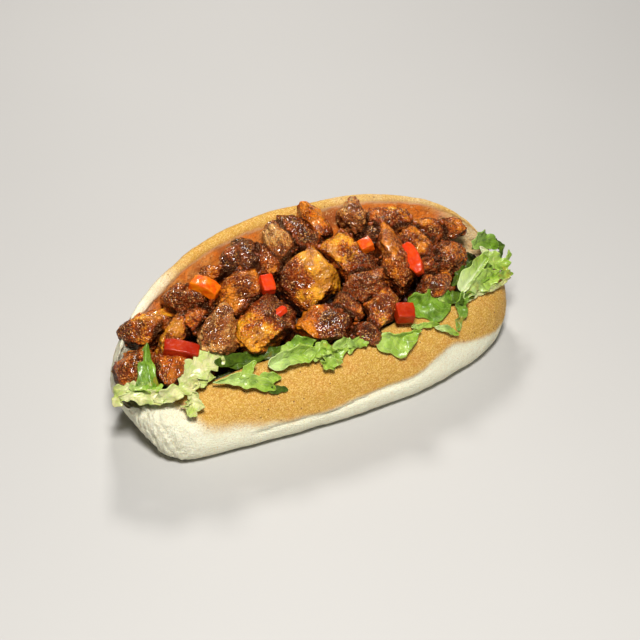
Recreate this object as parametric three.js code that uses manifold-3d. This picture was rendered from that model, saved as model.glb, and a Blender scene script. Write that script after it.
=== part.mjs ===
// A chicken shawarma sandwich: a soft white sub roll with a golden crust, opened along one side
// like a book, with a bed of salad leaves in the fold and a heap of spiced chicken pieces and
// diced red pepper on top. Units are millimetres. +X runs along the roll, +Y points from the low
// front half to the tall back flap, and +Z is up. The part stands on the plane Z = 0.

import * as THREE from "three";
import { mergeVertices } from "three/addons/utils/BufferGeometryUtils.js";
import Module from "manifold-3d";

const wasm = await Module();
wasm.setup();

// ---------------------------------------------------------------- driving dimensions

const rollLeft = -98;
const rollRight = 101;
const rollStations = 23; // cross-sections along the roll
const rollFineness = 2; // ring points for each landmark of the section
const foldAcross = 2; // where the fold of the roll runs, which the section tapers towards
const endHeight = 21; // height of the roll's two end points
const rimHeight = 61.5; // top of the back flap
const lipHeight = 33.5; // top of the low front half
const baseSink = 0.4; // how far the soft base settles flat on its plate
const clearance = 0.35; // gap between pieces that touch
const mostSharp = 0.4; // limit to the extra gap on a sharp edge

// The roll half way along: [across, up] landmarks of one smooth closed outline.
const rollSection = [
  [-32, 0], // front edge of the flat base
  [-41, 3.5],
  [-43, 9], // widest point, on the pale foot
  [-41.5, 16.5], // shallow crease under the golden crust
  [-38, 24.5],
  [-31.5, 31.5],
  [-26, lipHeight],
  [-21, 29.5],
  [-13, 17], // cut face of the low half
  [2, 10], // bottom of the fold
  [18, 20],
  [29, 38], // cut face of the tall flap
  [36, 52],
  [40.5, 59],
  [46, rimHeight],
  [51, 56.5],
  [52, 43], // back of the flap
  [46, 22],
  [36, 5],
  [23, 0], // back edge of the flat base
];

// How the outline narrows from the middle, t = 0, to an end, t = -1 or 1:
// (1 - slope |t|) (1 - |t|^blunt)^round. A high blunt keeps the width almost to the end.
const frontTaper = {
  left: { slope: 0.25, blunt: 12, round: 0.3 },
  right: { slope: 0, blunt: 3, round: 0.45 },
};
const rimTaper = {
  left: { slope: 0, blunt: 1.85, round: 0.72 },
  right: { slope: 0, blunt: 1.85, round: 0.5 },
};
const heightTaper = {
  left: { slope: 0, blunt: 3, round: 0.4 },
  right: { slope: 0, blunt: 3, round: 0.4 },
};
const baseTaper = {
  left: { slope: 0, blunt: 14, round: 0.5 },
  right: { slope: 0, blunt: 8, round: 0.5 },
};
const foldRise = 16; // extra height of the fold's bottom at the ends
const foldWidth = 20; // how far from the fold's bottom that rise reaches
const foldBlunt = 3; // a high value keeps the rise near the ends
const lipStart = -20; // the front lip lies further forward than this
const lipTuck = 4.5; // how much further in the front lip lies on the left
const lipTuckReach = 0.6; // share of the left half over which the lip moves in
const endLean = { left: 0.22, right: 0.05 }; // how far the ends overhang, per millimetre of height
const leanBlunt = 6; // a high value keeps the overhang near the ends

// The salad bed half way along the roll, drawn fuller than the fold that it is cut to fit.
const bedSection = [
  [-26, 29], // edge of the leaves, on the front lip
  [-30, 33],
  [-28, 36],
  [-22, 34.5],
  [-12, 28.5],
  [2, 28],
  [16, 33],
  [27, 39],
  [30, 36],
  [20, 20],
  [2, 6],
  [-20, 22],
];
const bedLeft = -102;
const bedRight = 102;
const bedEnd = [-6, 35]; // where the section shrinks to at both ends
const bedStations = 30;
const bedFineness = 1;
const frillEdge = -25; // the hanging edge of the leaves lies further forward than this
const frillDepth = 5; // how far the outline of the leaves wanders
const frillLift = 0.4; // how much it wanders up, for each millimetre back
const frillWaves = [0.23, 0.41, 0.67]; // turns per radian of travel along the roll, in 1/mm
const frillTwist = 0.4; // how far the waves lag from one landmark of the frill to the next
const bedTaper = {
  left: { slope: 0, blunt: 4, round: 0.5 },
  right: { slope: 0, blunt: 4, round: 0.5 },
};

// The top of the chicken heap: a slope that climbs to the flap and drops away at both ends.
const heapHeight = 53;
const heapSlope = 0.36;
const heapEndDrop = 10;
const heapHalfLength = 100;
const heapBlunt = 3; // a high value keeps the heap level almost to its ends

// Sharp-edged pieces have a high squareness. Each cut shaves a flat facet off the piece.
const pieceKinds = {
  block: { squareness: 3.0, cuts: 5, bend: 0, taper: 0 },
  slab: { squareness: 3.6, cuts: 4, bend: 0.1, taper: 0.1 },
  ridge: { squareness: 2.4, cuts: 4, bend: 0.12, taper: 0.25 },
  curl: { squareness: 2.4, cuts: 2, bend: 0.55, taper: 0.15 },
  drum: { squareness: 2.2, cuts: 3, bend: 0.15, taper: 0.5 },
  nugget: { squareness: 2.2, cuts: 6, bend: 0, taper: 0 },
};
const cutDepth = [0.72, 0.94]; // distance of a facet from the centre, of the piece's half size
const cutFlatness = 0.85; // 1 would leave a facet quite flat
const cutUpward = 0.15; // leaves more facets on the side that shows
const lumpiness = 0.07;
const lumpWaves = [3.1, 2.7, 2.3]; // along, across and up, in radians for each half size

// Chicken pieces, largest first: a later piece is dented where it meets an earlier one.
// at: [along, across, rise of the centre above the heap's top]; size: [long, wide, deep];
// turn: [spin on the heap, lean that lifts one long end, roll about the long axis] in degrees.
const chickenPieces = [
  { kind: "nugget", at: [1, 8, -8], size: [32, 30, 23], turn: [-15, 0, 10] },
  { kind: "ridge", at: [-29, -6, -7], size: [37, 22, 20], turn: [38, 0, -20] },
  { kind: "block", at: [24, 12, -7], size: [30, 23, 20], turn: [-72, 6, 0] },
  { kind: "drum", at: [43, -1, -6], size: [36, 19, 18], turn: [78, 4, 0] },
  { kind: "slab", at: [-33, 10, -8], size: [29, 25, 19], turn: [45, 0, 15] },
  { kind: "block", at: [-5, -18, -7], size: [29, 19, 18], turn: [-30, 0, 0] },
  { kind: "slab", at: [71, -5, -8], size: [25, 22, 16], turn: [-45, -6, 12] },
  { kind: "nugget", at: [-25, 26, -6], size: [20, 19, 17], turn: [0, 0, 0] },
  { kind: "block", at: [-76, 13, -7], size: [26, 18, 17], turn: [-8, 6, 0] },
  { kind: "ridge", at: [-55, -5, -5], size: [33, 16, 18], turn: [44, 6, 10] },
  { kind: "slab", at: [19, 30, -5], size: [22, 13, 9], turn: [102, 18, -25] },
  { kind: "ridge", at: [57, 5, -5], size: [28, 15, 15], turn: [-66, 0, 0] },
  { kind: "slab", at: [-6, 24, -5], size: [22, 15, 13], turn: [78, 16, 18] },
  { kind: "block", at: [35, 27, -4], size: [21, 15, 15], turn: [58, 20, 0] },
  { kind: "block", at: [6, 29, -7], size: [24, 14, 14], turn: [-60, 0, 0] },
  { kind: "block", at: [-15, 20, -7], size: [18, 16, 15], turn: [-20, 0, 0] },
  { kind: "block", at: [-93, 1, -7], size: [17, 14, 14], turn: [40, 0, 0] },
  { kind: "curl", at: [-70, 3, -5], size: [26, 14, 14], turn: [42, 0, 0] },
  { kind: "block", at: [20, -7, -6], size: [23, 16, 16], turn: [-2, 0, 0] },
  { kind: "ridge", at: [21, -22, -7], size: [21, 15, 15], turn: [82, 6, 0] },
  { kind: "block", at: [7, -16, -6], size: [18, 16, 15], turn: [-42, 0, 0] },
  { kind: "block", at: [50, 22, -6], size: [24, 15, 14], turn: [-20, 0, 0] },
  { kind: "ridge", at: [51, -16, -6], size: [21, 13, 14], turn: [-4, 0, 0] },
  { kind: "block", at: [67, 12, -5], size: [20, 15, 14], turn: [-32, 0, 0] },
  { kind: "curl", at: [79, 8, -4], size: [20, 12, 12], turn: [-10, 0, 0] },
  { kind: "curl", at: [-59, 3, -4], size: [19, 13, 14], turn: [42, 8, 0] },
  { kind: "block", at: [-57, 16, -6], size: [18, 14, 14], turn: [-45, 0, 0] },
  { kind: "nugget", at: [-79, -11, -6], size: [16, 14, 13], turn: [35, 0, 0] },
  { kind: "nugget", at: [-40, 22, -8], size: [17, 15, 14], turn: [-20, 0, 0] },
  { kind: "nugget", at: [9, -27, -7], size: [18, 12, 12], turn: [-15, 0, 0] },
  { kind: "block", at: [40, 17, -6], size: [13, 10, 12], turn: [35, 0, 0] },
  { kind: "nugget", at: [-48, 9, -6], size: [12, 9, 11], turn: [45, 0, 0] },
  { kind: "nugget", at: [56, -7, -5], size: [11, 10, 10], turn: [-15, 0, 0] },
];
const largePieces = 1; // the pieces that get the finer mesh

// Diced red pepper, cut from a wall about 6 mm thick and placed like the chicken.
// point narrows the ends, and crook bends the strip.
const pepperPieces = [
  { at: [-48, 15, 0], size: [15, 9, 6], turn: [-52, 0, -14], point: 0.1, crook: 0.28 },
  { at: [-22, 5, 0], size: [9, 6.5, 6], turn: [78, 8, 0] },
  { at: [-72, -8, 0], size: [16, 7, 6], turn: [-34, 0, 0], point: 0.2, crook: 0.1 },
  { at: [31, 7, 1], size: [8, 7.5, 6], turn: [-30, 0, 0] },
  { at: [48, -7, 2], size: [18, 8, 6], turn: [84, 4, -30], point: 0.55, crook: 0.08 },
  { at: [30, -29, -1], size: [9, 8.5, 7], turn: [-20, 0, 0] },
  { at: [-25, -12, 3], size: [9, 4.5, 4], turn: [10, 0, -20], point: 0.3, crook: 0.1 },
];

const pepperEdge = 0.9; // radius of a cut edge

// ---------------------------------------------------------------- colours

const finishes = {
  roll: { color: 0xd9a964, roughness: 0.85, metalness: 0 },
  salad: { color: 0x7fa83c, roughness: 0.5, metalness: 0 },
  chicken: { color: 0x9a5a22, roughness: 0.4, metalness: 0 },
  pepper: { color: 0xc8321a, roughness: 0.3, metalness: 0 },
};

// ---------------------------------------------------------------- helpers

// Repeatable random numbers from 0 to 1.
function randomFrom(seed) {
  let state = seed * 7919 + 17;
  return () => {
    state = (state * 16807) % 2147483647;
    return state / 2147483647;
  };
}

function narrowing(t, taper) {
  const { slope, blunt, round } = t < 0 ? taper.left : taper.right;
  return (1 - slope * Math.abs(t)) * Math.pow(1 - Math.pow(Math.abs(t), blunt), round);
}

function mix(a, b, share) {
  return a + (b - a) * share;
}

// A closed ring through the landmarks [across, up] at a distance x along the roll, with as many
// points for each landmark as its fineness says.
function smoothRing(x, landmarks, fineness) {
  const knots = landmarks.map(([across, up]) => new THREE.Vector3(x, across, up));
  const curve = new THREE.CatmullRomCurve3(knots, true, "centripetal");
  const count = landmarks.length * fineness;
  return Array.from({ length: count }, (_, i) => curve.getPoint(i / count));
}

// The same closed surface moved outwards by at least a small distance everywhere: a vertex on a
// sharp edge moves further, so that the faces beside it still clear the distance.
function swell(geometry, distance) {
  const swollen = mergeVertices(geometry, 1e-4);
  swollen.computeVertexNormals();
  const spots = swollen.attributes.position;
  const normals = swollen.attributes.normal;
  const index = swollen.index;
  const sharpness = new Array(spots.count).fill(1);
  const face = new THREE.Triangle();
  const across = new THREE.Vector3();
  const normal = new THREE.Vector3();
  for (let f = 0; f < index.count; f += 3) {
    const corners = [index.getX(f), index.getX(f + 1), index.getX(f + 2)];
    face.setFromAttributeAndIndices(spots, ...corners);
    face.getNormal(across);
    for (const v of corners) {
      normal.fromBufferAttribute(normals, v);
      sharpness[v] = Math.max(mostSharp, Math.min(sharpness[v], normal.dot(across)));
    }
  }
  for (let v = 0; v < spots.count; v++) {
    const point = new THREE.Vector3().fromBufferAttribute(spots, v);
    normal.fromBufferAttribute(normals, v);
    point.addScaledVector(normal, distance / sharpness[v]);
    spots.setXYZ(v, point.x, point.y, point.z);
  }
  return swollen;
}

// Skins a row of rings, closing both ends to a point.
function skin(rings, startPoint, endPoint) {
  const ringSize = rings[0].length;
  const positions = rings.flat().flatMap((point) => point.toArray());
  const faces = [];
  const start = positions.length / 3;
  positions.push(...startPoint, ...endPoint);
  for (let s = 0; s < rings.length - 1; s++) {
    for (let i = 0; i < ringSize; i++) {
      const a = s * ringSize + i;
      const b = s * ringSize + ((i + 1) % ringSize);
      faces.push(a, a + ringSize, b, b, a + ringSize, b + ringSize);
    }
  }
  const last = (rings.length - 1) * ringSize;
  for (let i = 0; i < ringSize; i++) {
    const next = (i + 1) % ringSize;
    faces.push(start, i, next);
    faces.push(start + 1, last + next, last + i);
  }
  const geometry = new THREE.BufferGeometry();
  geometry.setAttribute("position", new THREE.Float32BufferAttribute(positions, 3));
  geometry.setIndex(faces);
  return geometry;
}

function toSolid(geometry) {
  const bare = geometry.clone();
  bare.deleteAttribute("normal");
  bare.deleteAttribute("uv");
  const merged = mergeVertices(bare, 1e-4);
  return new wasm.Manifold(
    new wasm.Mesh({
      numProp: 3,
      vertProperties: new Float32Array(merged.attributes.position.array),
      triVerts: new Uint32Array(merged.index.array),
    }),
  );
}

function toGeometry(solid) {
  const mesh = solid.getMesh();
  const geometry = new THREE.BufferGeometry();
  geometry.setAttribute("position", new THREE.Float32BufferAttribute(mesh.vertProperties, 3));
  geometry.setIndex(Array.from(mesh.triVerts));
  geometry.computeVertexNormals();
  return geometry;
}

// A cut can leave crumbs of material: only the largest body is kept.
function largestBody(solid) {
  return solid.decompose().reduce((best, body) => (body.volume() > best.volume() ? body : best));
}

// ---------------------------------------------------------------- bread roll

// Where a landmark [across, up] of the middle section lies at t.
function rollPoint(t, [across, up]) {
  const front = narrowing(t, frontTaper);
  const rim = narrowing(t, rimTaper);
  const share = across < foldAcross ? 0 : Math.min(1, up / rimHeight);
  const width = mix(front, rim, share);
  const height = narrowing(t, up > endHeight ? heightTaper : baseTaper);
  const inFold = Math.max(0, 1 - Math.abs(across - foldAcross) / foldWidth);
  const rise = foldRise * Math.pow(Math.abs(t), foldBlunt) * narrowing(t, baseTaper) * inFold;
  const lip = across < lipStart ? THREE.MathUtils.smoothstep(up, endHeight, lipHeight) : 0;
  const tuck = lipTuck * lip * THREE.MathUtils.smoothstep(-t, 0, lipTuckReach);
  return [mix(foldAcross, across + tuck, width), mix(endHeight, up, height) + rise];
}

function rollGeometry() {
  const middle = (rollLeft + rollRight) / 2;
  const half = (rollRight - rollLeft) / 2;
  const rings = [];
  for (let s = 1; s < rollStations; s++) {
    const t = Math.sin((s / rollStations - 0.5) * Math.PI);
    const landmarks = rollSection.map((landmark) => rollPoint(t, landmark));
    const ring = smoothRing(middle + t * half, landmarks, rollFineness);
    const lean = t < 0 ? -endLean.left : endLean.right;
    for (const point of ring) {
      point.z = Math.max(0, point.z - baseSink);
      point.x += lean * (point.z - endHeight) * Math.pow(Math.abs(t), leanBlunt);
    }
    rings.push(ring);
  }
  return skin(rings, [rollLeft, foldAcross, endHeight], [rollRight, foldAcross, endHeight]);
}

// ---------------------------------------------------------------- salad bed

function frill(x, phase) {
  const waves = frillWaves.map((wave, i) => Math.sin(x * wave + phase * (i + 1)));
  return waves.reduce((sum, wave) => sum + wave, 0) / waves.length;
}

function bedGeometry() {
  const middle = (bedLeft + bedRight) / 2;
  const half = (bedRight - bedLeft) / 2;
  const rings = [];
  for (let s = 1; s < bedStations; s++) {
    const t = -Math.cos((s / bedStations) * Math.PI);
    const x = middle + t * half;
    const width = narrowing(t, bedTaper);
    const landmarks = bedSection.map(([across, up], i) => {
      const depth = across < frillEdge ? frillDepth : 0;
      const wander = depth * frill(x, frillTwist * i) * width;
      return [mix(bedEnd[0], across, width) + wander, mix(bedEnd[1], up, width) + frillLift * wander];
    });
    rings.push(smoothRing(x, landmarks, bedFineness));
  }
  return skin(rings, [bedLeft, ...bedEnd], [bedRight, ...bedEnd]);
}

// ---------------------------------------------------------------- chicken and pepper

function heapTop(along, across) {
  const outward = Math.abs(along / heapHalfLength);
  return heapHeight + heapSlope * across - heapEndDrop * Math.pow(outward, heapBlunt);
}

function placeOnHeap(geometry, { at: [along, across, rise], turn }) {
  const [spin, lean, roll] = turn.map(THREE.MathUtils.degToRad);
  geometry.rotateX(roll);
  geometry.rotateY(-lean);
  geometry.rotateZ(spin);
  geometry.rotateX(Math.atan(heapSlope));
  geometry.translate(along, across, heapTop(along, across) + rise);
  return geometry;
}

// Half of a piece's size, with an extra margin all round.
function halfSize({ size }, margin) {
  return new THREE.Vector3(...size).divideScalar(2).addScalar(margin);
}

function chickenGeometry(piece, index, margin) {
  const kind = pieceKinds[piece.kind];
  const half = halfSize(piece, margin);
  const random = randomFrom(index + 1);
  const cuts = [];
  for (let c = 0; c < kind.cuts; c++) {
    const normal = new THREE.Vector3(random() - 0.5, random() - 0.5, random() - 0.5 + cutUpward);
    cuts.push({ normal: normal.normalize(), depth: mix(...cutDepth, random()) });
  }
  const phase = random() * 2 * Math.PI;
  const detail = index < largePieces ? 2 : 1;
  const ball = new THREE.IcosahedronGeometry(1, detail);
  ball.deleteAttribute("normal");
  ball.deleteAttribute("uv");
  const geometry = mergeVertices(ball, 1e-4);
  const point = new THREE.Vector3();
  const spots = geometry.attributes.position;
  for (let v = 0; v < spots.count; v++) {
    point.fromBufferAttribute(spots, v);
    const power = kind.squareness;
    const sum = Math.abs(point.x) ** power + Math.abs(point.y) ** power + Math.abs(point.z) ** power;
    point.divideScalar(sum ** (1 / power));
    for (const cut of cuts) {
      const over = point.dot(cut.normal) - cut.depth;
      if (over > 0) {
        point.addScaledVector(cut.normal, -cutFlatness * over);
      }
    }
    const lump = Math.sin(lumpWaves[0] * point.x + phase) * Math.cos(lumpWaves[1] * point.y - phase);
    point.multiplyScalar(1 + lumpiness * lump * Math.sin(lumpWaves[2] * point.z + 2 * phase));
    const narrow = 1 - kind.taper * point.x;
    point.y = point.y * narrow + kind.bend * (0.5 - point.x * point.x);
    point.z *= mix(1, narrow, 0.5);
    point.multiply(half);
    spots.setXYZ(v, point.x, point.y, point.z);
  }
  return placeOnHeap(geometry, piece);
}

function pepperGeometry(piece, margin) {
  const { point = 0, crook = 0 } = piece;
  const half = halfSize(piece, margin);
  const core = half.clone().subScalar(pepperEdge);
  const geometry = new THREE.BoxGeometry(2, 2, 2, 4, 2, 1);
  const corner = new THREE.Vector3();
  const spot = new THREE.Vector3();
  const spots = geometry.attributes.position;
  for (let v = 0; v < spots.count; v++) {
    spot.fromBufferAttribute(spots, v);
    spot.y *= 1 - point * spot.x * spot.x;
    spot.multiply(half);
    corner.copy(spot).clamp(core.clone().negate(), core);
    const past = spot.clone().sub(corner);
    if (past.length() > pepperEdge) {
      spot.copy(corner).add(past.setLength(pepperEdge));
    }
    spot.z -= (crook * spot.x * spot.x) / half.x;
    spots.setXYZ(v, spot.x, spot.y, spot.z);
  }
  return placeOnHeap(geometry, piece);
}

// ---------------------------------------------------------------- the sandwich

function named(name, solid, finish) {
  const mesh = new THREE.Mesh(toGeometry(solid), new THREE.MeshStandardMaterial(finishes[finish]));
  mesh.name = name;
  return mesh;
}

function numbered(name, i) {
  return `${name}_${String(i + 1).padStart(2, "0")}`;
}

const sandwich = new THREE.Group();

const roll = toSolid(rollGeometry());
const rollRoom = toSolid(swell(rollGeometry(), clearance));
sandwich.add(named("bread_roll", roll, "roll"));

const bed = largestBody(toSolid(bedGeometry()).subtract(rollRoom));
const bedRoom = toSolid(swell(bedGeometry(), clearance));
sandwich.add(named("salad_leaves", bed, "salad"));

const taken = [rollRoom, bedRoom];

// Adds a piece cut back by all that is already there, and keeps its room clear of later pieces.
function addCut(name, solid, room, finish) {
  let left = solid;
  for (const neighbour of taken) {
    left = left.subtract(neighbour);
  }
  sandwich.add(named(name, largestBody(left), finish));
  taken.push(room);
}

pepperPieces.forEach((piece, i) => {
  const solid = toSolid(pepperGeometry(piece, 0));
  const room = toSolid(pepperGeometry(piece, clearance));
  addCut(numbered("pepper_piece", i), solid, room, "pepper");
});

chickenPieces.forEach((piece, i) => {
  const solid = toSolid(chickenGeometry(piece, i, 0));
  const room = toSolid(chickenGeometry(piece, i, clearance));
  addCut(numbered("chicken_piece", i), solid, room, "chicken");
});

// The origin is the middle of the whole sandwich's box, on the plane that it stands on.
const box = new THREE.Box3().setFromObject(sandwich);
const centre = box.getCenter(new THREE.Vector3());
sandwich.position.set(-centre.x, -centre.y, -box.min.z);

export default new THREE.Group().add(sandwich);
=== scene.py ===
# %% [markdown]
# # A chicken shawarma sandwich
# A soft white sub roll is opened along one side like a book. Salad leaves lie in the fold, and on
# them sits a heap of browned, spiced chicken with diced red pepper. The measured CAD model says
# where each piece is and how large. This script gives every piece the shape and finish of food.
# All lengths are in metres, and MM turns millimetres into them.

# %% Load the measured sandwich
import math

import bmesh
import bpy
import numpy as np
from mathutils import Matrix, Vector, noise
from mathutils.kdtree import KDTree


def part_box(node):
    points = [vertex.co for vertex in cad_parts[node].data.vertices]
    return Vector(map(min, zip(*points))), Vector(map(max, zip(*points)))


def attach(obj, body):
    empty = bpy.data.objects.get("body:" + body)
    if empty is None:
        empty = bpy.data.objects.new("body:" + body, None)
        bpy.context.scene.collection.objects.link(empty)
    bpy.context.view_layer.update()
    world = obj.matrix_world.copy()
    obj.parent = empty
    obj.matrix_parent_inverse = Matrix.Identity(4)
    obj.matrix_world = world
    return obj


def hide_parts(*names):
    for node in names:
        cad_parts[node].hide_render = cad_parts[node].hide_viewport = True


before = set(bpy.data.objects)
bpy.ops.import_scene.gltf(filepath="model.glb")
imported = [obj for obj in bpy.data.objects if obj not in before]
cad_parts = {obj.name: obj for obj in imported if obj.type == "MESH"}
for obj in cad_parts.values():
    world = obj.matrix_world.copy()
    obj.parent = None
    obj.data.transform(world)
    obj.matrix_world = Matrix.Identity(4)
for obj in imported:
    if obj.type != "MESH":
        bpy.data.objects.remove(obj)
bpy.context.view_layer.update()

MM = 0.001
BODY = "root"
noise.seed_set(5)  # so that every run draws the same noise
chicken_nodes = sorted(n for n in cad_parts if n.startswith("chicken_piece"))
print(len(chicken_nodes), "chicken pieces among", len(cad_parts), "nodes")

# %% [markdown]
# ## Recipes made of nodes
# Both materials and Geometry Nodes are graphs of small nodes. Placing each by hand in code is
# wordy, so one small class adds a node, sets its values and wires its inputs. The same noise and
# maths nodes exist in both kinds of graph, so the class serves surfaces and shapes alike.

# %% A short way to write node graphs
class Recipe:
    """Adds nodes to one graph. An input is a plain value or another node's output."""

    def __init__(self, tree):
        self.tree = tree

    def add(self, kind, inputs=None, **settings):
        node = self.tree.nodes.new(kind)
        for name, value in settings.items():
            setattr(node, name, value)
        for key, value in (inputs or {}).items():
            self.feed(node, key, value)
        return node

    def feed(self, node, key, value):
        if isinstance(value, bpy.types.NodeSocket):
            self.tree.links.new(value, node.inputs[key])
        else:
            node.inputs[key].default_value = value

    def math(self, operation, a, b=0.0):
        return self.add("ShaderNodeMath", {0: a, 1: b}, operation=operation).outputs[0]

    def plus(self, a, b):
        return self.math("ADD", a, b)

    def minus(self, a, b):
        return self.math("SUBTRACT", a, b)

    def times(self, a, b):
        return self.math("MULTIPLY", a, b)

    def centred(self, value, middle, span):
        """Swings about zero: a value's distance from the middle, times the span."""
        return self.times(self.minus(value, middle), span)

    def vector(self, operation, a, b):
        return self.add("ShaderNodeVectorMath", {0: a, 1: b}, operation=operation).outputs[0]

    def moved(self, place, *shift):
        """The same place in another part of the noise, so that two patterns don't agree."""
        return self.vector("ADD", place, shift)

    def dot(self, a, b):
        return self.add("ShaderNodeVectorMath", {0: a, 1: b}, operation="DOT_PRODUCT").outputs[1]

    def scale(self, a, factor):
        return self.add("ShaderNodeVectorMath", {0: a, 3: factor}, operation="SCALE").outputs[0]

    def clouds(self, place, size, detail=2.0, roughness=0.5):
        """Soft noise from 0 to 1 whose blobs are about size metres across."""
        inputs = {"Vector": place, "Scale": 1 / size, "Detail": detail, "Roughness": roughness}
        return self.add("ShaderNodeTexNoise", inputs).outputs[0]

    def cells(self, place, size, feature="F1"):
        """Distance in a pattern of random cells about size metres across."""
        inputs = {"Vector": place, "Scale": 1 / size}
        return self.add("ShaderNodeTexVoronoi", inputs, feature=feature).outputs[0]

    def tones(self, place, size):
        """A random number for each of the same cells, from 0 to 1."""
        shade = self.add("ShaderNodeTexVoronoi", {"Vector": place, "Scale": 1 / size}).outputs[1]
        return self.add("ShaderNodeSeparateColor", {0: shade}).outputs[0]

    def ease(self, value, low, high, start=0.0, end=1.0):
        """Goes smoothly from start to end while value goes from low to high."""
        inputs = {0: value, 1: low, 2: high, 3: start, 4: end}
        return self.add("ShaderNodeMapRange", inputs, interpolation_type="SMOOTHSTEP").outputs[0]

    def blend(self, share, a, b):
        """Mixes two colours."""
        return self.add("ShaderNodeMix", {0: share, 6: a, 7: b}, data_type="RGBA").outputs[2]

    def layered(self, base, *coats):
        """Lays coats over a colour. Each is how much of it covers, and its own colour."""
        for share, shade in coats:
            base = self.blend(share, base, shade)
        return base


# %% [markdown]
# ## Materials
# Every finish is one Principled shader whose colour comes from noise at the object's own
# coordinates. A value that is the same all over is set on the shader itself. Fine relief is a
# bump, because grains a tenth of a millimetre high don't need points of their own.

# %% Finishes
class Finish(Recipe):
    """A new material: its recipe, its place in the noise and its shader."""

    def __init__(self, name, roughness, **fixed):
        self.material = bpy.data.materials.new(name)
        self.material.use_nodes = True
        super().__init__(self.material.node_tree)
        self.shader = self.tree.nodes["Principled BSDF"]
        self.shader.inputs["Roughness"].default_value = roughness
        self.set(**fixed)
        self.place = self.add("ShaderNodeTexCoord").outputs["Object"]

    def set(self, **values):
        """Gives the shader's sockets plain values or other nodes' outputs."""
        for socket, value in values.items():
            self.feed(self.shader, socket.replace("_", " "), value)

    def kept(self, name):
        """A number that the mesh keeps for each of its points."""
        return self.add("ShaderNodeAttribute", attribute_name=name).outputs["Fac"]

    def relief(self, height, depth, socket="Normal"):
        """Small bumps as shading. height runs from 0 to 1 and depth is in metres."""
        inputs = {"Height": height, "Distance": depth, "Strength": 1.0}
        self.set(**{socket: self.add("ShaderNodeBump", inputs).outputs[0]})


def colour(red, green, blue):
    return (red, green, blue, 1.0)


# %% [markdown]
# ## Turning shapes into finished pieces
# A CAD node arrives as loose triangles. A copy is merged into one closed skin before it is
# refined. Modifiers and Geometry Nodes then shape it, and the result is kept as a plain mesh.

# %% New objects and plain results
def place_in_scene(name, data):
    piece = bpy.data.objects.new(name, data)
    bpy.context.scene.collection.objects.link(piece)
    return piece


def new_piece(name, vertices, faces, material):
    data = bpy.data.meshes.new(name)
    data.from_pydata([tuple(v) for v in vertices], [], faces)
    data.materials.append(material)
    data.shade_smooth()
    return place_in_scene(name, data)


def plain(piece):
    """Turns the evaluated piece into a plain mesh and drops its modifiers."""
    seen = piece.evaluated_get(bpy.context.evaluated_depsgraph_get())
    data = bpy.data.meshes.new_from_object(seen)
    data.name = piece.name
    piece.modifiers.clear()
    piece.data = data
    data.shade_smooth()


# %% Joined and remeshed copies
def joined_mesh(name, sources, merge=False):
    """One mesh of several."""
    mesh = bmesh.new()
    for source in sources:
        mesh.from_mesh(source)
    if merge:
        bmesh.ops.remove_doubles(mesh, verts=mesh.verts, dist=0.01 * MM)
    data = bpy.data.meshes.new(name)
    mesh.to_mesh(data)
    mesh.free()
    return data


def remeshed_copy(node, name, voxel, smoothing=0):
    """A closed copy of a CAD node's mesh with an even skin of small squares."""
    piece = place_in_scene(name, joined_mesh(name, [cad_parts[node].data], merge=True))
    remesh = piece.modifiers.new("even skin", "REMESH")
    remesh.mode = "VOXEL"
    remesh.voxel_size = voxel
    if smoothing:
        piece.modifiers.new("soft edges", "SMOOTH").iterations = smoothing
    plain(piece)
    return piece


# %% Points, material, and what the piece stands for
def dress(piece, material):
    piece.data.materials.clear()
    piece.data.materials.append(material)


def points_of(piece):
    return np.array([v.co for v in piece.data.vertices])


def normals_of(piece):
    return np.array([v.normal for v in piece.data.vertices])


def move_points(piece, points):
    piece.data.vertices.foreach_set("co", points.ravel())
    piece.data.update()


def keep(piece, slot, *nodes):
    """Makes the piece move with the sandwich and hides the nodes it stands for. The slot is not used."""
    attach(piece, BODY)
    if nodes:
        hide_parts(*nodes)
    return piece


# %% The inputs of a geometry graph, and running it
def geometry_graph(name, *inputs):
    """A graph's recipe and its inputs: geometry, then named ones with types and defaults."""
    tree = bpy.data.node_groups.new(name, "GeometryNodeTree")
    tree.is_modifier = True
    tree.interface.new_socket("Geometry", in_out="INPUT", socket_type="NodeSocketGeometry")
    for label, kind, value in inputs:
        socket = tree.interface.new_socket(label, in_out="INPUT", socket_type="NodeSocket" + kind)
        if value is not None:
            socket.default_value = value
    tree.interface.new_socket("Geometry", in_out="OUTPUT", socket_type="NodeSocketGeometry")
    recipe = Recipe(tree)
    return recipe, recipe.add("NodeGroupInput").outputs


def apply_graph(piece, recipe, **values):
    """Runs a graph on the piece, with its inputs given by name and an underscore for a space."""
    modifier = piece.modifiers.new(recipe.tree.name, "NODES")
    modifier.node_group = recipe.tree
    for item in recipe.tree.interface.items_tree:
        key = item.name.replace(" ", "_")
        if item.in_out == "INPUT" and key in values:
            modifier[item.identifier] = values[key]
    plain(piece)


# %% Numbers kept for each point
def remember(recipe, geometry, name, value, domain="POINT"):
    """Keeps a number for every point under a name."""
    inputs = {"Geometry": geometry, "Name": name, "Value": value}
    return recipe.add("GeometryNodeStoreNamedAttribute", inputs, domain=domain).outputs[0]


def store(piece, **numbers):
    """Keeps a number for every point of a finished mesh."""
    for name, values in numbers.items():
        attribute = piece.data.attributes.new(name, "FLOAT", "POINT")
        attribute.data.foreach_set("value", np.asarray(values, np.float32))


# %% Soft noise and soft steps
def bumps(points, size, octaves=2):
    """Soft noise from about -1 to 1 at many points, with blobs about size metres across."""
    return np.array([noise.fractal(p / size, 1.0, 2.0, octaves) for p in map(Vector, points)])


def ramp(value, low, high):
    """Goes smoothly from 0 to 1 while value goes from low to high."""
    share = np.clip((value - low) / (high - low), 0, 1)
    return share * share * (3 - 2 * share)


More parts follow.
